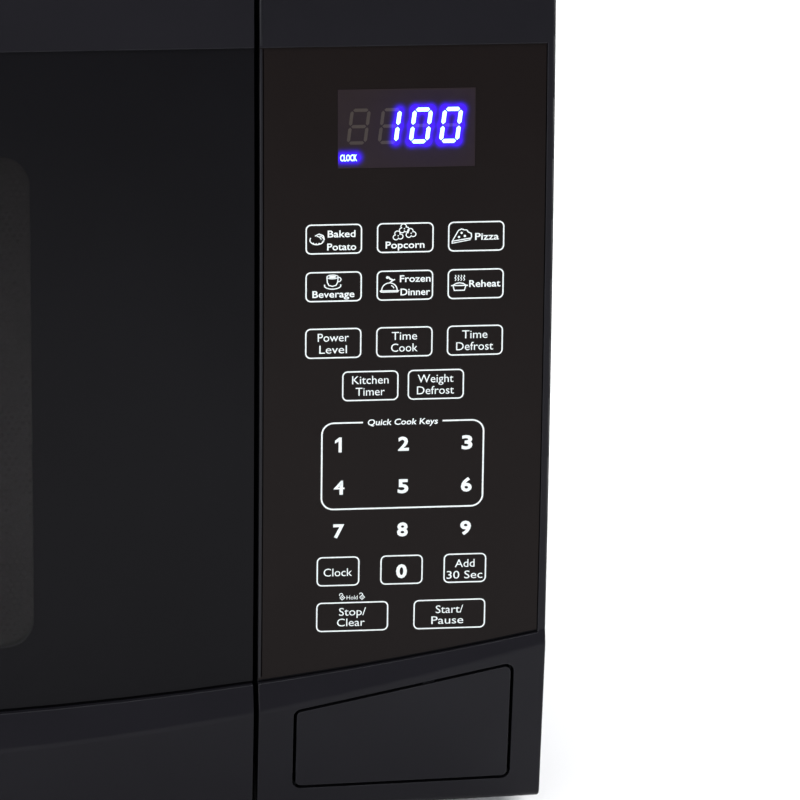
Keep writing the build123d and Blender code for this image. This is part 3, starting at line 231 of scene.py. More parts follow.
def film(name, base, rough=0.14):
    """Glossy printed film, with the soft orange peel of its lamination."""
    s = Shader(name, base, rough, specular=0.08)
    s.colour(s.shades(0.12, 25 * MM))
    s.roughness(s.span(s.noise(22 * MM, 5, rough=0.6), 0.3, 0.8, rough - 0.03, rough + 0.08))
    peel = s.bump(s.noise(5 * MM, 1), 0.004 * MM)
    s.normal(s.bump(s.noise(0.6 * MM, 2), 0.0015 * MM, peel))
    # painted shade on the side faces
    s.shade_flanks(MOULDED_FLANK_SHADE)
    return s.material


def textured_plastic(name, base, rough=0.5, grain=0.25, depth=0.012):
    """Matt moulding with a spark-eroded texture."""
    s = Shader(name, base, rough, specular=0.4)
    rounded, edge_mask = s.edges(0.4 * MM)
    lighter = [min(1.0, c * 1.5 + 0.01) for c in base]
    s.colour(s.mix(s.math("MULTIPLY", edge_mask, 0.5), s.shades(0.1, 18 * MM), lighter))
    s.roughness(s.span(s.noise(6 * MM, 4), 0.3, 0.7, rough - 0.06, rough + 0.08))
    s.normal(s.bump(s.noise(grain * MM, 3), depth * MM, rounded))
    return s.material


def powder_coat(name, base):
    """Baked powder coat: a pebbled skin, slightly worn through on folded edges."""
    s = Shader(name, base, 0.42, specular=0.45)
    rounded, edge_mask = s.edges(0.6 * MM)
    wear = s.math("MULTIPLY", edge_mask, s.span(s.noise(5 * MM, 5), 0.55, 0.7))
    s.colour(s.mix(wear, s.shades(0.07, 60 * MM, 4), [c + 0.12 for c in base]))
    s.roughness(s.span(s.noise(35 * MM, 5), 0.3, 0.75, 0.40, 0.46))
    pebble = s.bump(s.noise(0.55 * MM, 1), 0.02 * MM, rounded)
    s.normal(s.bump(s.noise(90 * MM, 1), 0.1 * MM, pebble))
    return s.material


def enamel(name, base, speckle):
    """Baked enamel with small specks and a slight waviness of the sheet below it."""
    s = Shader(name, base, 0.28)
    specks = s.span(s.cells(1.6 * MM).outputs["Distance"], 0.12, 0.2, 1.0, 0.0)
    chosen = s.math("MULTIPLY", specks, s.span(s.noise(2.3 * MM, 1), 0.5, 0.56))
    s.colour(s.mix(chosen, s.shades(0.03, 70 * MM), speckle))
    s.roughness(s.span(s.noise(20 * MM, 4), 0.3, 0.7, 0.23, 0.38))
    skin = s.bump(s.noise(0.9 * MM, 2), 0.004 * MM)
    s.normal(s.bump(s.noise(60 * MM, 1), 0.2 * MM, skin))
    return s.material


def rolled_steel(name, base, rough, along=(1, 1, 12), spangle=0.0):
    """Plated sheet steel: fine rolling lines and dull patches, with a galvanised spangle if one is given."""
    s = Shader(name, base, rough, metal=1.0)
    rounded, edge_mask = s.edges(0.3 * MM)
    dull = [c * 0.7 for c in base]
    patches = s.span(s.noise(14 * MM, 5, rough=0.65), 0.35, 0.7)
    if spangle:
        grey = s.node("ShaderNodeRGBToBW")
        s.set(grey, "Color", s.cells(spangle).outputs["Color"])
        patches = s.math("MULTIPLY", patches, s.span(grey.outputs["Val"], 0.0, 1.0, 0.3, 1.0))
    s.colour(s.mix(edge_mask, s.mix(patches, base, dull), [min(1.0, c * 1.15) for c in base]))
    s.roughness(s.span(s.noise(0.5 * MM, 4, along), 0.3, 0.7, rough - 0.08, rough + 0.12))
    s.normal(s.bump(s.noise(0.3 * MM, 2, along), 0.004 * MM, rounded))
    return s.material


def rubber(name, base):
    """Soft black rubber with dust in its texture and on its edges."""
    s = Shader(name, base, 0.7, specular=0.3)
    rounded, edge_mask = s.edges(0.4 * MM)
    dust = s.math("MULTIPLY", s.span(s.noise(4 * MM, 5), 0.5, 0.75), 0.5)
    s.colour(s.mix(s.math("MAXIMUM", dust, edge_mask), s.shades(0.1, 9 * MM), [c + 0.05 for c in base]))
    s.roughness(s.span(s.noise(3 * MM, 3), 0.3, 0.7, 0.6, 0.8))
    s.normal(s.bump(s.noise(0.4 * MM, 3), 0.02 * MM, rounded))
    return s.material


def clear_glass(name, tint, rough=0.04, clear=0.85):
    """Pressed glass: tinted and see-through, its reflection from the surface alone."""
    s = Shader(name, tint, rough)
    see = s.node("ShaderNodeBsdfTransparent")
    s.set(see, "Color", (*tint, 1.0))
    facing = s.node("ShaderNodeLayerWeight")
    s.set(facing, "Blend", 0.25)
    solid = s.span(facing.outputs["Facing"], 0.0, 1.0, 1 - clear, 1.0)
    s.join(solid, see.outputs[0], s.bsdf.outputs[0])
    s.roughness(s.span(s.noise(15 * MM, 4), 0.3, 0.7, rough, rough + 0.06))
    s.normal(s.bump(s.noise(11 * MM, 1), 0.03 * MM))
    return s.material


def lit(name, colour, strength):
    """Glow of a light-emitting segment, slightly uneven."""
    s = Shader(name, (0.0, 0.0, 0.0), 0.5)
    s.set(s.bsdf, "Emission Color", (*colour, 1.0))
    level = s.span(s.noise(1.5 * MM, 1), 0.3, 0.7, strength * 0.92, strength * 1.08)
    s.set(s.bsdf, "Emission Strength", level)
    return s.material


def ink(name, base):
    """Screen-printed ink: flat, faintly mottled."""
    s = Shader(name, base, 0.5, specular=0.3)
    s.colour(s.shades(0.05, 0.8 * MM, 2))
    s.roughness(s.span(s.noise(0.5 * MM, 2), 0.3, 0.7, 0.42, 0.6))
    s.normal(s.bump(s.noise(0.25 * MM, 2), 0.003 * MM))
    return s.material


def circuit_board(name):
    """Green laminate with a grid of fine tracks under the lacquer."""
    s = Shader(name, (0.02, 0.12, 0.05), 0.35)
    upright = s.span(s.waves(2.5 * MM, "X", 6), 0.75, 0.8)
    level = s.span(s.waves(3.5 * MM, "Z", 5), 0.8, 0.85)
    tracks = s.math("MAXIMUM", upright, level)
    s.colour(s.mix(tracks, s.shades(0.1, 12 * MM), (0.05, 0.22, 0.09)))
    s.roughness(s.span(s.noise(4 * MM, 3), 0.3, 0.7, 0.25, 0.45))
    s.normal(s.bump(tracks, 0.03 * MM))
    return s.material


def banded(name, base, band, size, axis, metal=1.0):
    """Wound wire or stacked laminations: fine dark lines between bright ridges."""
    s = Shader(name, base, 0.35, metal=metal)
    ridges = s.waves(size, axis, 0.3)
    s.colour(s.mix(s.span(ridges, 0.15, 0.55, 1.0, 0.0), s.shades(0.12, 10 * MM), band))
    s.roughness(s.span(s.noise(3 * MM, 3), 0.3, 0.7, 0.27, 0.47))
    s.normal(s.bump(ridges, 0.2 * size))
    return s.material


# ---------------------------------------------------------------- finish of every CAD node
# the window in the door's glass: left, right, bottom, top, then its corner radius
WINDOW = [v * MM for v in (-172.8, 80.0, 68.0, 227.0)]
WINDOW_R = 9.3 * MM
WINDOW_TINT = (0.42, 0.38, 0.40)

# the holes in the door's steel screen: the area they fill, the pitch between them and their radius
HOLES = [v * MM for v in (-176.0, 83.0, 65.0, 230.0)]
HOLE_PITCH = 2.2 * MM
HOLE_R = 0.74 * MM


def door_glass_finish():
    """Glass printed black on its back, but for the rounded window, which is tinted."""
    s = Shader("door_glass_black_print", (0.0042, 0.0041, 0.0052), 0.05, specular=0.08)
    s.colour(s.shades(0.2, 50 * MM))
    s.roughness(s.span(s.noise(45 * MM, 6, rough=0.65), 0.4, 0.8, 0.04, 0.12))
    s.normal(s.bump(s.noise(120 * MM, 1), 0.12 * MM))
    place = s.parts()
    left, right, bottom, top = WINDOW
    across = s.math("ABSOLUTE", s.math("SUBTRACT", place["X"], (left + right) / 2))
    up = s.math("ABSOLUTE", s.math("SUBTRACT", place["Z"], (bottom + top) / 2))
    dx = s.math("MAXIMUM", s.math("SUBTRACT", across, (right - left) / 2 - WINDOW_R), 0.0)
    dz = s.math("MAXIMUM", s.math("SUBTRACT", up, (top - bottom) / 2 - WINDOW_R), 0.0)
    reach = s.math("SQRT", s.math("ADD", s.math("MULTIPLY", dx, dx), s.math("MULTIPLY", dz, dz)))
    inside = s.span(reach, WINDOW_R - 0.3 * MM, WINDOW_R, 1.0, 0.0)
    see = s.node("ShaderNodeBsdfTransparent")
    s.set(see, "Color", (*WINDOW_TINT, 1.0))
    facing = s.node("ShaderNodeFresnel")
    s.set(facing, "IOR", 1.33)
    # painted shade: flat near-black side faces of the glass, for the shade in the gap beside them
    dull = s.node("ShaderNodeBsdfDiffuse")
    s.set(dull, "Color", (*GLASS_FLANK_SHADE, 1.0))
    gloss = s.node("ShaderNodeBsdfGlossy")
    s.set(gloss, "Roughness", 0.05)
    window = s.join(facing.outputs[0], see.outputs[0], gloss.outputs[0])
    s.join(inside, s.join(s.flank(), s.bsdf.outputs[0], dull.outputs[0]), window)
    return s.material


def screen_finish(name):
    """Dark painted steel, see-through at a honeycomb of small holes behind the window."""
    s = Shader(name, (0.045, 0.037, 0.039), 0.5, specular=0.3)
    s.colour(s.shades(0.1, 30 * MM))
    s.roughness(s.span(s.noise(5 * MM, 3), 0.3, 0.7, 0.42, 0.6))
    s.normal(s.bump(s.noise(0.5 * MM, 2), 0.01 * MM))
    place = s.parts()
    rows = []
    for shift in (0.0, 0.5):
        parts = []
        for axis, pitch in (("X", HOLE_PITCH), ("Z", HOLE_PITCH * 3 ** 0.5)):
            cell = s.math("FRACT", s.math("ADD", s.math("DIVIDE", place[axis], pitch), shift))
            off = s.math("MULTIPLY", s.math("SUBTRACT", cell, 0.5), pitch)
            parts.append(s.math("MULTIPLY", off, off))
        rows.append(s.math("SQRT", s.math("ADD", *parts)))
    hole = s.span(s.math("MINIMUM", *rows), HOLE_R * 0.94, HOLE_R * 1.06, 1.0, 0.0)
    left, right, bottom, top = HOLES
    for axis, low, high in (("X", left, right), ("Z", bottom, top)):
        inside = s.math("MULTIPLY", s.math("GREATER_THAN", place[axis], low),
                        s.math("LESS_THAN", place[axis], high))
        hole = s.math("MULTIPLY", hole, inside)
    clear = s.node("ShaderNodeBsdfTransparent")
    s.join(hole, s.bsdf.outputs[0], clear.outputs[0])
    return s.material


WHITE_PLASTIC = (0.62, 0.61, 0.57)
STEEL = (0.55, 0.56, 0.58)
FINISHES = {
    "moulded_black": lambda n: moulded_gloss(n, (0.0098, 0.0095, 0.0122)),
    "key_overlay": lambda n: film(n, (0.0083, 0.0062, 0.006)),
    "door_glass": lambda n: door_glass_finish(),
    "display_window": lambda n: film(n, (0.020, 0.0145, 0.0165), 0.1),
    "led_display": lambda n: textured_plastic(n, (0.03, 0.03, 0.035)),
    "membrane": lambda n: film(n, (0.3, 0.3, 0.27), 0.4),
    "screen_steel": screen_finish,
    "inner_film": lambda n: clear_glass(n, (0.9, 0.9, 0.9), 0.08, 0.94),
    "choke_plastic": lambda n: textured_plastic(n, (0.045, 0.046, 0.05)),
    "latch_plastic": lambda n: textured_plastic(n, WHITE_PLASTIC, 0.4),
    "spring_wire": lambda n: rolled_steel(n, STEEL, 0.25),
    "board_laminate": circuit_board,
    "small_transformer": lambda n: banded(n, (0.2, 0.2, 0.21), (0.05, 0.05, 0.05), 0.5 * MM, "Z", 0.6),
    "switch_body": lambda n: textured_plastic(n, (0.015, 0.015, 0.016)),
    "plated_steel": lambda n: rolled_steel(n, STEEL, 0.34, (12, 1, 1), 9 * MM),
    "screw_steel": lambda n: rolled_steel(n, (0.45, 0.44, 0.42), 0.3, (1, 1, 1)),
    "cavity_paint": lambda n: enamel(n, (0.48, 0.48, 0.46), (0.25, 0.25, 0.25)),
    "mica": lambda n: textured_plastic(n, (0.36, 0.31, 0.22), 0.55, 1.5),
    "cover_paint": lambda n: powder_coat(n, (0.012, 0.0122, 0.0135)),
    "foot_rubber": lambda n: rubber(n, (0.014, 0.014, 0.014)),
    "motor_steel": lambda n: rolled_steel(n, (0.5, 0.5, 0.5), 0.35, (1, 1, 6)),
    "shaft": lambda n: rolled_steel(n, (0.62, 0.62, 0.62), 0.2, (1, 1, 8)),
    "coupler_plastic": lambda n: textured_plastic(n, (0.7, 0.7, 0.67), 0.35),
    "tray_glass": lambda n: clear_glass(n, (0.93, 0.97, 0.955)),
    "ferrite": lambda n: textured_plastic(n, (0.03, 0.03, 0.032), 0.6, 1.0, 0.03),
    "fins": lambda n: rolled_steel(n, (0.75, 0.75, 0.77), 0.28, (1, 6, 1)),
    "antenna": lambda n: rolled_steel(n, (0.68, 0.64, 0.58), 0.2),
    "filter_case": lambda n: rolled_steel(n, STEEL, 0.3, (1, 8, 1)),
    "air_guide": lambda n: textured_plastic(n, (0.06, 0.06, 0.06)),
    "cutouts": lambda n: rolled_steel(n, (0.7, 0.7, 0.7), 0.3),
    "core_steel": lambda n: banded(n, (0.16, 0.15, 0.15), (0.04, 0.035, 0.035), 0.5 * MM, "Y"),
    "coil_wire": lambda n: banded(n, (0.6, 0.25, 0.09), (0.14, 0.05, 0.02), 0.9 * MM, "Z"),
    "capacitor_can": lambda n: rolled_steel(n, (0.66, 0.67, 0.69), 0.25, (8, 1, 1)),
    "diode": lambda n: textured_plastic(n, (0.02, 0.02, 0.02)),
    "fan_plastic": lambda n: textured_plastic(n, (0.025, 0.025, 0.025), 0.4),
    "lamp_glass": lambda n: clear_glass(n, (0.95, 0.95, 0.93), 0.03, 0.8),
}


def paint_nodes():
    """Gives every CAD node the finish of its slot in the record."""
    made = {}
    for entry in frame["record"]["subparts"]:
        slot = entry["material_slot"]
        if slot not in made:
            made[slot] = FINISHES[slot](slot + "_finish")
        for material_slot in frame["nodes"][entry["node"]].material_slots:
            material_slot.material = made[slot]


# ---------------------------------------------------------------- pieces that lie on the front
CAPITAL = 0.729          # capital height of the built-in font, for a size of 1
LONGEST_FACE = 4.0       # longest face of a stroke, so that it follows the crowned front
DOT_SIDES = 14
NUDGE = 1e-6             # keeps a ray off the exact line between two faces
NEAR_FRONT = -0.193      # about the depth of the front, where a ray finds nothing


def add_piece(name, mesh, material):
    """Makes a piece of the casing from a mesh."""
    mesh.materials.append(material)
    piece = bpy.data.objects.new(name, mesh)
    bpy.context.scene.collection.objects.link(piece)
    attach(piece, "casing")


def front_tree(node):
    """A search tree of a CAD node's faces, for finding its front surface."""
    mesh = frame["nodes"][node].data
    points = [vertex.co.copy() for vertex in mesh.vertices]
    return BVHTree.FromPolygons(points, [list(face.vertices) for face in mesh.polygons])


def front_y(tree, x, z):
    """Depth of the frontmost surface at a place given in metres."""
    hit = tree.ray_cast(Vector((x + NUDGE, -1.0, z + NUDGE)), Vector((0.0, 1.0, 0.0)))[0]
    return (hit or tree.find_nearest(Vector((x, NEAR_FRONT, z)))[0]).y


def thicken(flat, reach):
    """Moves the border of flat lettering outwards, with sharp corners held back."""
    outward = {}
    for edge in flat.edges:
        if len(edge.link_loops) == 1:
            loop = edge.link_loops[0]
            along = (loop.link_loop_next.vert.co - loop.vert.co).normalized()
            side = Vector((along.y, -along.x, 0)) * (1 if loop.face.normal.z > 0 else -1)
            for vertex in edge.verts:
                outward.setdefault(vertex, []).append(side)
    for vertex, sides in outward.items():
        middle = sum(sides, Vector((0, 0, 0)))
        if middle.length > 0.2:
            middle.normalize()
            vertex.co += middle * reach / max(0.7, middle.dot(sides[0]))


def fine_path(path, closed):
    """The same path with points added, so that its faces can follow the crowned front."""
    fine = []
    for i, point in enumerate(path):
        after = path[(i + 1) % len(path)]
        pieces = 1
        if closed or i < len(path) - 1:
            pieces += int((after - point).length / LONGEST_FACE)
        fine += [point.lerp(after, k / pieces) for k in range(pieces)]
    return fine


class Print:
    """Flat faces in millimetres, X to the right and Z up, that become one thin piece lying on the front."""

    def __init__(self):
        self.points, self.faces, self.glow = [], [], []

    def face(self, corners, glow=None):
        """One flat face, with the brightness of each corner where that matters."""
        start = len(self.points)
        self.points += corners
        self.glow += glow or [1.0] * len(corners)
        self.faces.append(list(range(start, start + len(corners))))

    def stroke(self, path, width, closed=False):
        """A line of even width along a path, as a strip of short four-sided faces."""
        path = fine_path([Vector(p) for p in path], closed)
        count = len(path)
        sides = []
        for i, point in enumerate(path):
            before = path[i - 1] if closed or i else point
            after = path[(i + 1) % count] if closed or i < count - 1 else point
            first, second = (point - before), (after - point)
            first = first.normalized() if first.length else second.normalized()
            second = second.normalized() if second.length else first
            middle = (first + second).normalized()
            across = Vector((-middle.y, middle.x))
            reach = width / 2 / max(0.5, across.dot(Vector((-first.y, first.x))))
            sides.append((point + across * reach, point - across * reach))
        for i in range(count if closed else count - 1):
            a, b = sides[i], sides[(i + 1) % count]
            self.face([a[1], b[1], b[0], a[0]])

    def dot(self, centre, radius, stretch=1.0):
        """A round or sideways stretched spot."""
        x, z = centre
        angles = [2 * pi * i / DOT_SIDES for i in range(DOT_SIDES)]
        self.face([(x + radius * stretch * cos(a), z + radius * sin(a)) for a in angles])

    def word(self, text, centre, baseline, height, width, weight=0.0, slope=0.0):
        """A line of lettering with its capital height, whole width and thickening in millimetres."""
        curve = bpy.data.curves.new("word", "FONT")
        curve.body = text
        curve.size = 1.0
        curve.shear = slope
        curve.resolution_u = 3
        holder = bpy.data.objects.new("word", curve)
        bpy.context.scene.collection.objects.link(holder)
        graph = bpy.context.evaluated_depsgraph_get()
        mesh = bpy.data.meshes.new_from_object(holder.evaluated_get(graph))
        low = min(v.co.x for v in mesh.vertices)
        high = max(v.co.x for v in mesh.vertices)
        across, up = (width - weight) / (high - low), (height - weight) / CAPITAL
        flat = bmesh.new()
        flat.from_mesh(mesh)
        bmesh.ops.remove_doubles(flat, verts=flat.verts, dist=1e-5)
        flat.normal_update()
        for vertex in flat.verts:
            x = centre + (vertex.co.x - (low + high) / 2) * across
            vertex.co = Vector((x, baseline + weight / 2 + vertex.co.y * up, 0))
        thicken(flat, weight / 2)
        for face in flat.faces:
            self.face([(v.co.x, v.co.y) for v in face.verts])
        flat.free()
        bpy.data.objects.remove(holder)
        bpy.data.meshes.remove(mesh)
        bpy.data.curves.remove(curve)

    def build(self, name, tree, lift, material, slot):
        """Lays the faces on the surface of a search tree, lifted by a distance in metres."""
        mesh = bpy.data.meshes.new(name)
        places = []
        for x, z in self.points:
            x, z = x * MM, z * MM
            places.append((x, front_y(tree, x, z) - lift, z))
        mesh.from_pydata(places, [], self.faces)
        glow = mesh.attributes.new("glow", "FLOAT", "POINT")
        glow.data.foreach_set("value", self.glow)
        made = bmesh.new()
        made.from_mesh(mesh)
        for face in made.faces:
            face.normal_update()
            if face.normal.y > 0:
                face.normal_flip()
        made.to_mesh(mesh)
        made.free()
        add_piece(name, mesh, material)


def rounded_box(left, right, bottom, top, radius, steps=5):
    """Closed path round a rectangle with rounded corners, anticlockwise from the lower right corner."""
    corners = ((right - radius, bottom + radius, -90), (right - radius, top - radius, 0),
               (left + radius, top - radius, 90), (left + radius, bottom + radius, 180))
    path = []
    for x, z, start in corners:
        for step in range(steps + 1):
            angle = radians(start + 90 * step / steps)
            path.append((x + radius * cos(angle), z + radius * sin(angle)))
    return path


def arc(x, z, rx, rz, start, end, steps=10):
    """Points of an elliptical arc between two angles in degrees."""
    angles = [radians(start + (end - start) * i / steps) for i in range(steps + 1)]
    return [(x + rx * cos(a), z + rz * sin(a)) for a in angles]


# ---------------------------------------------------------------- control panel legends, in millimetres
LINE = 0.42              # width of the key outlines
CORNER = 1.5             # corner radius of the key outlines
KEY_COLUMNS = ((164.7, 181.8), (186.8, 204.0), (208.9, 226.0))
KEY_ROWS = ((194.5, 203.6), (179.3, 188.5), (161.1, 170.4))
PAIR_ROW = (147.1, 156.4)
PAIR_KEYS = ((176.3, 193.5), (196.8, 214.0))
ZERO_ROW = (86.1, 95.5)
ZERO_KEYS = ((168.8, 181.9), (188.9, 201.9), (208.9, 222.0))
START_ROW = (70.7, 80.2)
START_KEYS = ((168.8, 191.2), (199.6, 222.0))
BOLD = 0.1               # thickening of the bold words
QUICK_HEIGHT = 2.35      # capital height on the picture keys
PLAIN_HEIGHT = 2.75      # capital height on the plain keys
NUMBER_COLUMNS = (175.4, 195.5, 215.45)
NUMBER_ROWS = ((132.7, "123"), (118.75, "456"), (104.4, "789"))
NUMBER_HEIGHT = 4.9
NUMBER_WIDTH = 3.4
NUMBER_WEIGHT = 0.45
ZERO_PLACE = (195.4, 90.44)


def key_outlines(art):
    """The rounded outline of every key."""
    boxes = [(*column, *row) for row in KEY_ROWS for column in KEY_COLUMNS]
    boxes += [(*key, *PAIR_ROW) for key in PAIR_KEYS]
    boxes += [(*key, *ZERO_ROW) for key in ZERO_KEYS]
    boxes += [(*key, *START_ROW) for key in START_KEYS]
    for box in boxes:
        art.stroke(rounded_box(*box, CORNER), LINE, closed=True)


def number_frame(art):
    """The frame round the first six numbers, open at the top for its caption."""
    left, right, bottom, top, radius = 169.9, 220.6, 111.5, 139.85, 3.7
    steps = 7
    path = rounded_box(left, right, bottom, top, radius, steps)
    half = 2 * (steps + 1)
    art.stroke([(182.7, top)] + path[half:] + path[:half] + [(207.65, top)], 0.5)
    art.word("Quick Cook Keys", 195.2, top - 1.0, 2.1, 22.0, 0.1, 0.12)


def quick_words(art):
    """Words of the six picture keys."""
    for text, centre, baseline, width in (
            ("Baked", 175.65, 199.6, 8.6), ("Potato", 175.7, 195.5, 9.0), ("Popcorn", 195.35, 195.7, 12.1),
            ("Pizza", 220.8, 197.85, 7.4), ("Beverage", 173.2, 180.45, 13.05), ("Frozen", 198.6, 184.9, 9.55),
            ("Dinner", 198.65, 180.65, 9.2), ("Reheat", 220.3, 182.85, 9.75)):
        art.word(text, centre, baseline, QUICK_HEIGHT, width, BOLD)


def plain_words(art):
    """Words of the plain keys."""
    for text, centre, baseline, width in (
            ("Power", 173.25, 166.35, 9.7), ("Level", 173.2, 162.5, 8.6),
            ("Time", 195.4, 166.4, 7.9), ("Cook", 195.4, 162.6, 8.3),
            ("Time", 217.4, 166.4, 7.9), ("Defrost", 217.4, 162.6, 11.6),
            ("Kitchen", 184.9, 152.4, 11.4), ("Timer", 184.9, 148.6, 9.1),
            ("Weight", 205.3, 152.4, 11.2), ("Defrost", 205.3, 148.6, 11.6), ("Clock", 175.3, 89.2, 9.0),
            ("Add", 215.4, 91.15, 6.2), ("30 Sec", 215.4, 87.3, 11.35),
            ("Stop/", 180.05, 75.85, 8.5), ("Clear", 179.6, 72.25, 8.8),
            ("Start/", 210.8, 75.8, 8.7), ("Pause", 210.2, 72.15, 10.15)):
        art.word(text, centre, baseline, PLAIN_HEIGHT, width)
    art.word("Hold", 179.9, 81.25, 1.45, 3.5)


def numbers(art):
    """The ten numbers."""
    places = [(digit, x, middle) for middle, row in NUMBER_ROWS for digit, x in zip(row, NUMBER_COLUMNS)]
    for digit, x, middle in (*places, ("0", *ZERO_PLACE)):
        if digit == "1":
            one(art, x, middle)
        else:
            art.word(digit, x, middle - NUMBER_HEIGHT / 2, NUMBER_HEIGHT, NUMBER_WIDTH, NUMBER_WEIGHT)


def one(art, x, middle):
    """A figure 1 with a flag, about its middle."""
    low, high = middle - NUMBER_HEIGHT / 2, middle + NUMBER_HEIGHT / 2
    art.face([(x - 0.25, low), (x + 0.72, low), (x + 0.72, high), (x - 0.1, high), (x - 0.25, high - 0.5)])
    art.face([(x - 0.1, high), (x - 1.4, high - 1.05), (x - 1.4, high - 1.95), (x - 0.25, high - 1.3)])


def picture_potato(art):
    """A potato half wrapped in foil."""
    art.stroke(arc(168.0, 198.85, 2.15, 1.45, 150, 470, 22)[:20], 0.33)
    art.stroke([(167.4, 200.15), (168.7, 200.75), (170.0, 200.2), (170.35, 199.1), (169.6, 198.0)], 0.33)
    art.stroke([(168.0, 200.1), (168.9, 199.75), (169.4, 199.0)], 0.28)
    for x, z in ((166.9, 197.8), (167.8, 197.6), (168.7, 197.7)):
        art.dot((x, z), 0.26)


def picture_popcorn(art):
    """Three popped kernels, each of three lobes."""
    for x, z in ((195.0, 201.9), (193.1, 199.7), (197.1, 200.4)):
        for turn in (100, 220, 340):
            lobe = (x + 0.8 * cos(radians(turn)), z + 0.75 * sin(radians(turn)))
            art.stroke(arc(*lobe, 0.85, 0.8, turn - 130, turn + 130), 0.3)
        art.dot((x + 0.1, z), 0.2)


def picture_pizza(art):
    """A slice with its crust and three slices of sausage."""
    art.stroke([(211.9, 201.0), (212.9, 201.45), (213.7, 201.15), (214.5, 201.1), (215.0, 200.4),
                (215.9, 200.0), (216.0, 198.9)], 0.34)
    art.stroke([(211.9, 201.0), (210.0, 197.6), (215.8, 198.5), (216.0, 198.9)], 0.34)
    art.stroke([(210.0, 197.6), (209.95, 196.95), (215.5, 197.95), (215.8, 198.5)], 0.28)
    for x, z, radius in ((212.9, 200.2, 0.38), (212.1, 198.9, 0.36), (213.9, 199.2, 0.38)):
        art.dot((x, z), radius)


def picture_cup(art):
    """A cup of coffee on its saucer."""
    art.stroke(arc(172.9, 187.05, 1.75, 0.62, 0, 360, 16), 0.3, closed=True)
    art.stroke([(171.15, 187.0), (171.3, 185.3), (171.8, 184.35), (172.9, 184.05), (174.0, 184.35),
                (174.5, 185.3), (174.65, 187.0)], 0.34)
    art.stroke(arc(174.8, 186.2, 0.75, 0.7, -110, 110, 8), 0.3)
    art.stroke(arc(172.95, 184.25, 2.55, 1.1, 160, 380, 14), 0.34)
    art.dot((172.9, 187.05), 0.4, stretch=2.8)


def picture_cloche(art):
    """A dish under a domed cover, with a hand on its knob."""
    art.stroke(arc(190.6, 182.4, 2.4, 2.35, 0, 180, 14), 0.34)
    art.stroke([(187.65, 182.25), (193.5, 182.25), (193.1, 181.85), (188.05, 181.85), (187.65, 182.25)], 0.34)
    art.stroke(arc(190.6, 182.5, 1.5, 1.5, 20, 70, 5), 0.3)
    art.stroke([(190.6, 184.75), (191.5, 185.45), (192.3, 185.85)], 0.4)
    art.stroke([(190.2, 186.7), (190.7, 186.1), (191.6, 185.6)], 0.55)
    art.dot((189.95, 186.5), 0.45)


def picture_pot(art):
    """A lidded pot with steam."""
    art.stroke([(209.75, 183.45), (215.05, 183.45)], 0.34)
    art.stroke([(210.3, 183.5), (211.3, 184.1), (212.4, 184.3), (213.5, 184.1), (214.5, 183.5)], 0.34)
    art.stroke([(210.4, 183.4), (210.8, 181.9), (213.95, 181.9), (214.4, 183.4)], 0.34)
    for x in (211.0, 211.9, 212.8, 213.7):
        art.stroke([(x, 184.95), (x + 0.3, 185.4), (x - 0.05, 185.9), (x + 0.3, 186.35), (x + 0.1, 186.8)],
                   0.26)


def picture_locks(art):
    """A shut and an open padlock, either side of the Hold caption."""
    for x, shackle in ((176.75, (20, 200)), (183.0, (-20, 160))):
        art.stroke([(x - 0.7, 81.9), (x, 81.15), (x + 0.85, 81.9), (x + 0.1, 82.75), (x - 0.7, 81.9)],
                   0.24)
        art.stroke(arc(x - 0.3, 82.75, 0.55, 0.6, *shackle, 8), 0.24)
        art.dot((x + 0.05, 81.95), 0.22)


def panel_print():
    """All the printing on the key panel, in groups."""
    tree = front_tree("control_overlay")
    white = ink("key_print_ink", (0.80, 0.86, 0.87))
    groups = {"key_outlines": key_outlines, "number_frame": number_frame, "quick_key_words": quick_words,
              "plain_key_words": plain_words, "number_keys": numbers, "potato_picture": picture_potato,
              "popcorn_picture": picture_popcorn, "pizza_picture": picture_pizza, "cup_picture": picture_cup,
              "cloche_picture": picture_cloche, "pot_picture": picture_pot, "padlock_pictures": picture_locks}
    for name, draw in groups.items():
        art = Print()
        draw(art)
        art.build(name, tree, 0.03 * MM, white, "key_overlay")


# ---------------------------------------------------------------- left edge of the control panel
RIM_WIDTH = 0.9 * MM
RIM_RISE = 0.22 * MM
RIM_SINK = 0.05 * MM     # how far the rim's two edges lie below the surface
RIM_ROWS = 80
RIM_SIDES = 8
SEAM_SHADOW_WIDTH = 0.35        # millimetres, as all flat print
SEARCH_STEPS = 400
RIB_FRONT = -189.0 * MM
RIB_BACK = -171.0 * MM
RIB_SLOPE = 6.0 * MM     # how much further back the rib's front is at its top
RIB_WIDTH = 1.2 * MM
RIB_HEIGHT = 12.0 * MM
RIB_ROOT = 0.3 * MM      # how far the rib reaches into the housing's wall


def lowest_hit(tree, x, bottom, top):
    """Height at which a front panel with a sloping lower edge begins."""
    for i in range(SEARCH_STEPS):
        z = bottom + (top - bottom) * i / SEARCH_STEPS
        if tree.ray_cast(Vector((x, -1.0, z)), Vector((0.0, 1.0, 0.0)))[0]:
            return z
    return top


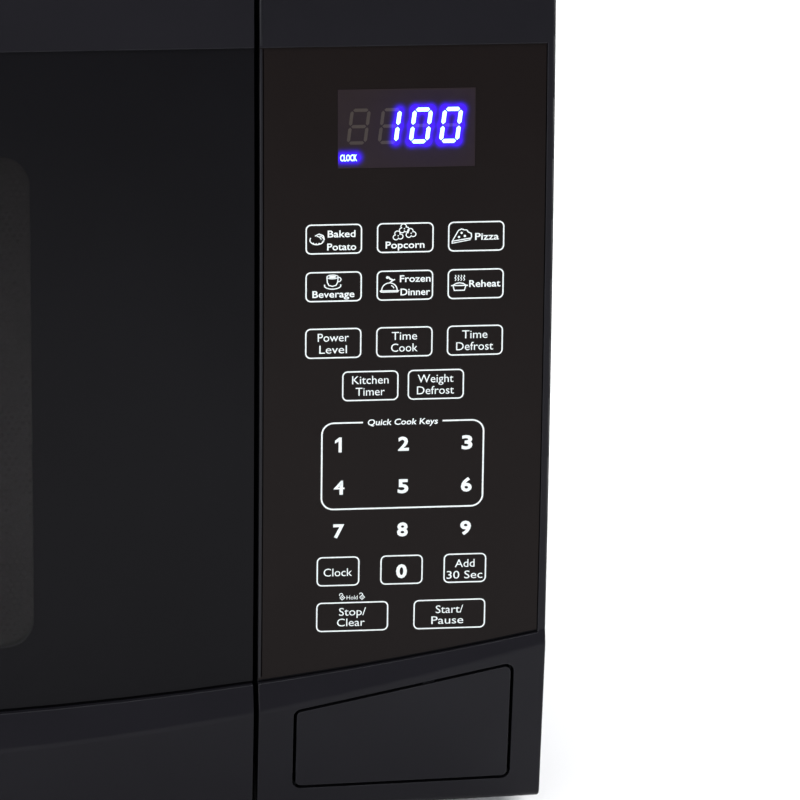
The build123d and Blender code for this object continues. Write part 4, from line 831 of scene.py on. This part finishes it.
def bead(name, tree, left, bottom, top, material):
    """A low half-round bead that follows the crowned front upwards, lower at its two ends."""
    made = bmesh.new()
    rows = []
    for j in range(RIM_ROWS + 1):
        z = bottom + (top - bottom) * j / RIM_ROWS
        edge_y = front_y(tree, left + RIM_WIDTH, z) + RIM_SINK
        ends = min(1.0, 6 * j / RIM_ROWS, 6 * (RIM_ROWS - j) / RIM_ROWS)
        rise = RIM_RISE * (0.3 + 0.7 * ends)
        angles = [pi * k / RIM_SIDES for k in range(RIM_SIDES + 1)]
        rows.append([made.verts.new((left + RIM_WIDTH * (1 - cos(a)) / 2, edge_y - rise * sin(a), z))
                     for a in angles])
    for lower, upper in zip(rows, rows[1:]):
        for k in range(RIM_SIDES):
            face = made.faces.new((lower[k], lower[k + 1], upper[k + 1], upper[k]))
            face.smooth = True
    mesh = bpy.data.meshes.new(name)
    made.to_mesh(mesh)
    made.free()
    add_piece(name, mesh, material)


def gap_shade_rib():
    """A dull tapered rib on the control housing's left wall that closes the foot of the door gap, coloured
    near-black as painted shade for that gap.
    """
    (left, _, foot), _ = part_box("control_housing")
    made = bmesh.new()
    corners = []
    for z, front, width in ((0.2 * MM, RIB_FRONT, RIB_WIDTH),
                            (0.2 * MM + RIB_HEIGHT, RIB_FRONT + RIB_SLOPE, RIB_WIDTH / 2)):
        for across, y in ((0, front), (width, front), (width, RIB_BACK), (0, RIB_BACK)):
            corners.append(made.verts.new((left + RIB_ROOT - across, y, foot + z)))
    for face in ((3, 2, 1, 0), (4, 5, 6, 7), (0, 1, 5, 4), (1, 2, 6, 5), (2, 3, 7, 6), (3, 0, 4, 7)):
        made.faces.new([corners[i] for i in face])
    bmesh.ops.bevel(made, geom=made.edges[:], offset=0.15 * MM, segments=2, affect="EDGES")
    bmesh.ops.recalc_face_normals(made, faces=made.faces)
    mesh = bpy.data.meshes.new("gap_shade_rib")
    made.to_mesh(mesh)
    made.free()
    # painted shade: near-black matt colour standing in for the shade at the foot of the door gap
    add_piece("gap_shade_rib", mesh, textured_plastic("rib_shade_plastic", GLASS_FLANK_SHADE, 0.8))


def panel_rim():
    """The film's rounded left edge beside the door gap, the painted shadow line inside it, and the band's own
    edge.
    """
    overlay, housing = front_tree("control_overlay"), front_tree("control_housing")
    (left, _, bottom), (_, _, top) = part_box("control_overlay")
    start = lowest_hit(overlay, left + RIM_WIDTH, bottom, top) + 0.2 * MM
    gloss = moulded_gloss("rim_gloss", (0.008, 0.008, 0.011), 0.3, 0.2)
    bead("overlay_rim", overlay, left, start, top - 0.2 * MM, gloss)
    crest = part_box("control_housing")[1][2]
    bead("band_rim", housing, left, top + 0.8 * MM, crest - 1.2 * MM, gloss)
    seam_shadow_print = Print()
    x = (left + RIM_WIDTH) / MM + SEAM_SHADOW_WIDTH / 2
    seam_shadow_print.stroke([(x, start / MM + 0.3), (x, top / MM - 0.3)], SEAM_SHADOW_WIDTH)
    # painted shadow: a matt near-black line with no gloss, inside the rim
    shadow = Shader("seam_shadow", (0.0015, 0.0012, 0.0015), 0.9, specular=0.0)
    shadow.colour(shadow.shades(0.3, 2 * MM))
    seam_shadow_print.build("overlay_seam_shadow", overlay, 0.04 * MM, shadow.material, "key_overlay")


# ---------------------------------------------------------------- clock display
DIGIT_H = 11.2
DIGIT_W = 6.2
STROKE = 1.25            # width of a lit segment
THIN_STROKE = 1.0        # width of an unlit one
SEGMENT_GAP = 0.27
SLANT = 0.125
DIGIT_BASE = 228.7
DIGIT_LEFT = (177.0, 186.6, 196.2, 205.5)        # lower left corner of each digit
SEGMENTS = {
    "top": ((0, 2), (1, 2)), "middle": ((0, 1), (1, 1)), "bottom": ((0, 0), (1, 0)),
    "lower_left": ((0, 0), (0, 1)), "upper_left": ((0, 1), (0, 2)),
    "lower_right": ((1, 0), (1, 1)), "upper_right": ((1, 1), (1, 2)),
}
ZERO = ("top", "bottom", "lower_left", "upper_left", "lower_right", "upper_right")
ONE = ("lower_right", "upper_right")
HALO_AREA = (174.5, 216.7, 221.4, 245.7)         # left, right, bottom, top
HALO_STEP = 0.4
GLOW_REACH = 1.1
HAZE_SHARE = 0.003       # the faint haze round each line, as a share of its glow
HAZE_REACH = 5
GLOW_LIMIT = 1.15
LIT_WORD = ((175.6, 224.65), (179.9, 224.65), 0.9)     # ends of a line through the lit word, half its height


def segment(name, left, stroke):
    """Six corners of a segment, slanted, in millimetres."""
    (c0, r0), (c1, r1) = SEGMENTS[name]
    half = stroke / 2
    xs = (half, DIGIT_W - half)
    zs = (half, DIGIT_H / 2, DIGIT_H - half)
    ax, az, bx, bz = xs[c0], zs[r0], xs[c1], zs[r1]
    tip, shoulder = SEGMENT_GAP, half + SEGMENT_GAP
    if az == bz:
        outline = [(ax + tip, az), (ax + shoulder, az - half), (bx - shoulder, bz - half), (bx - tip, bz),
                   (bx - shoulder, bz + half), (ax + shoulder, az + half)]
    else:
        outline = [(ax, az + tip), (ax + half, az + shoulder), (bx + half, bz - shoulder), (bx, bz - tip),
                   (bx - half, bz - shoulder), (ax - half, az + shoulder)]
    return [(left + x + z * SLANT, DIGIT_BASE + z) for x, z in outline]


def apart(point, start, end):
    """Distance from a point to a straight line between two others."""
    along = end - start
    share = max(0.0, min(1.0, (point - start).dot(along) / along.length_squared))
    return (point - start - along * share).length


def halo(art, lines):
    """A sheet over the window whose glow falls away from the lit lines (start, end, reach)."""
    left, right, bottom, top = HALO_AREA
    across, up = int((right - left) / HALO_STEP), int((top - bottom) / HALO_STEP)

    def level(x, z):
        total = 0.0
        for start, end, reach in lines:
            distance = max(0.0, apart(Vector((x, z)), start, end) - reach)
            total += exp(-(distance / GLOW_REACH) ** 2) + HAZE_SHARE * exp(-distance / HAZE_REACH)
        return min(GLOW_LIMIT, total)

    spots = [[(left + i * HALO_STEP, bottom + j * HALO_STEP) for j in range(up + 1)]
             for i in range(across + 1)]
    levels = [[level(*spot) for spot in column] for column in spots]
    for i in range(across):
        for j in range(up):
            corners = ((i, j), (i + 1, j), (i + 1, j + 1), (i, j + 1))
            art.face([spots[a][b] for a, b in corners], [levels[a][b] for a, b in corners])


def glow_shader(name, colour, strength):
    """Light that fades with the piece's glow attribute and adds to what is behind it."""
    material = bpy.data.materials.new(name)
    material.use_nodes = True
    tree = material.node_tree
    tree.nodes.remove(tree.nodes["Principled BSDF"])
    fade = tree.nodes.new("ShaderNodeAttribute")
    fade.attribute_name = "glow"
    level = tree.nodes.new("ShaderNodeMath")
    level.operation = "MULTIPLY"
    level.inputs[1].default_value = strength
    shine = tree.nodes.new("ShaderNodeEmission")
    shine.inputs["Color"].default_value = (*colour, 1.0)
    clear = tree.nodes.new("ShaderNodeBsdfTransparent")
    total = tree.nodes.new("ShaderNodeAddShader")
    tree.links.new(fade.outputs["Fac"], level.inputs[0])
    tree.links.new(level.outputs[0], shine.inputs["Strength"])
    tree.links.new(shine.outputs[0], total.inputs[0])
    tree.links.new(clear.outputs[0], total.inputs[1])
    tree.links.new(total.outputs[0], tree.nodes["Material Output"].inputs["Surface"])
    return material


def display():
    """The clock, laid on the smoked window: lit and unlit segments, the lit word and their halo."""
    tree = front_tree("display_window")
    bright, dim, glow = Print(), Print(), Print()
    start, end, reach = LIT_WORD
    lines = [(Vector(start), Vector(end), reach)]
    for left, on in zip(DIGIT_LEFT, ((), ONE, ZERO, ZERO)):
        for name in SEGMENTS:
            outline = segment(name, left, STROKE if name in on else THIN_STROKE)
            if name in on:
                bright.face(outline)
                lines.append((Vector(outline[0]), Vector(outline[3]), STROKE / 2))
            else:
                dim.face(outline)
    halo(glow, lines)
    bright.word("CLOCK", 177.7, 223.55, 2.2, 5.2, 0.12)
    light = lit("segment_light", (0.55, 0.95, 1.0), 2.2)
    unlit = ink("unlit_segment", (0.042, 0.033, 0.027))
    shine = glow_shader("segment_halo", (0.036, 0.0, 1.0), 1.25)
    bright.build("clock_segments_lit", tree, 0.06 * MM, light, "led_display")
    dim.build("clock_segments_unlit", tree, 0.03 * MM, unlit, "led_display")
    glow.build("clock_halo", tree, 0.045 * MM, shine, "led_display")


# ---------------------------------------------------------------- stage, lights and camera
FLOOR_REACH = 6.0
OVEN_MIDDLE = (0.0, 0.0, 0.12)
EYE = (0.0, -1.8208, 0.653)
YAW = 0.11886            # to the right, in radians
PITCH = 0.29968          # downwards
ROLL = 0.010911
LENS = 248.12            # for a 36 mm sensor


def stage():
    """A wide, plain pale floor."""
    mesh = bpy.data.meshes.new("floor")
    corners = [(x * FLOOR_REACH, y * FLOOR_REACH, 0) for x, y in ((-1, -1), (1, -1), (1, 1), (-1, 1))]
    mesh.from_pydata(corners, [], [(0, 1, 2, 3)])
    mesh.materials.append(Shader("floor_paper", (0.86, 0.86, 0.87), 0.6, specular=0.2).material)
    floor = bpy.data.objects.new("floor", mesh)
    bpy.context.scene.collection.objects.link(floor)


def area_light(name, place, target, size, power, colour=(1, 1, 1)):
    """A rectangular soft light that faces its target."""
    data = bpy.data.lights.new(name, "AREA")
    data.shape = "RECTANGLE"
    data.size, data.size_y = size
    data.energy = power
    data.color = colour
    light = bpy.data.objects.new(name, data)
    light.location = place
    light.rotation_euler = (Vector(target) - Vector(place)).to_track_quat("-Z", "Y").to_euler()
    bpy.context.scene.collection.objects.link(light)


def lights():
    """Five soft boxes and a dim, even sky."""
    area_light("top_softbox", (0.42, 0.45, 1.05), (0.42, 0.4, 0.0), (0.9, 1.1), 20)
    area_light("front_softbox", (-1.4, -1.9, 0.55), (0.0, -0.15, 0.14), (0.9, 0.6), 30, (1.0, 0.98, 0.97))
    area_light("overhead_softbox", (0.0, -0.5, 1.1), (0.0, -0.45, 0.0), (0.9, 0.4), 8)
    area_light("left_softbox", (-1.5, -0.7, 1.2), OVEN_MIDDLE, (0.8, 0.8), 8, (0.95, 0.97, 1.0))
    area_light("right_softbox", (1.3, 0.15, 0.8), OVEN_MIDDLE, (0.3, 0.9), 3, (0.9, 0.96, 1.0))
    world = bpy.data.worlds.new("studio")
    world.use_nodes = True
    sky = world.node_tree.nodes["Background"]
    sky.inputs["Color"].default_value = (0.95, 0.97, 1.0, 1.0)
    sky.inputs["Strength"].default_value = 0.2
    bpy.context.scene.world = world


def camera():
    """A long lens in front of the oven, a little above it, that looks at the right part of the front."""
    forward = Vector((sin(YAW) * cos(PITCH), cos(YAW) * cos(PITCH), -sin(PITCH)))
    right = Vector((cos(YAW), -sin(YAW), 0.0))
    up = right.cross(forward)
    rolled_right = right * cos(ROLL) + up * sin(ROLL)
    rolled_up = up * cos(ROLL) - right * sin(ROLL)
    data = bpy.data.cameras.new("camera")
    data.sensor_width = 36.0
    data.lens = LENS
    eye = bpy.data.objects.new("camera", data)
    turn = Matrix((rolled_right, rolled_up, -forward)).transposed()
    eye.matrix_world = Matrix.Translation(EYE) @ turn.to_4x4()
    bpy.context.scene.collection.objects.link(eye)
    bpy.context.scene.camera = eye


bpy.context.scene.view_settings.view_transform = "Standard"
camera()
stage()
lights()
paint_nodes()
panel_print()
panel_rim()
gap_shade_rib()
display()
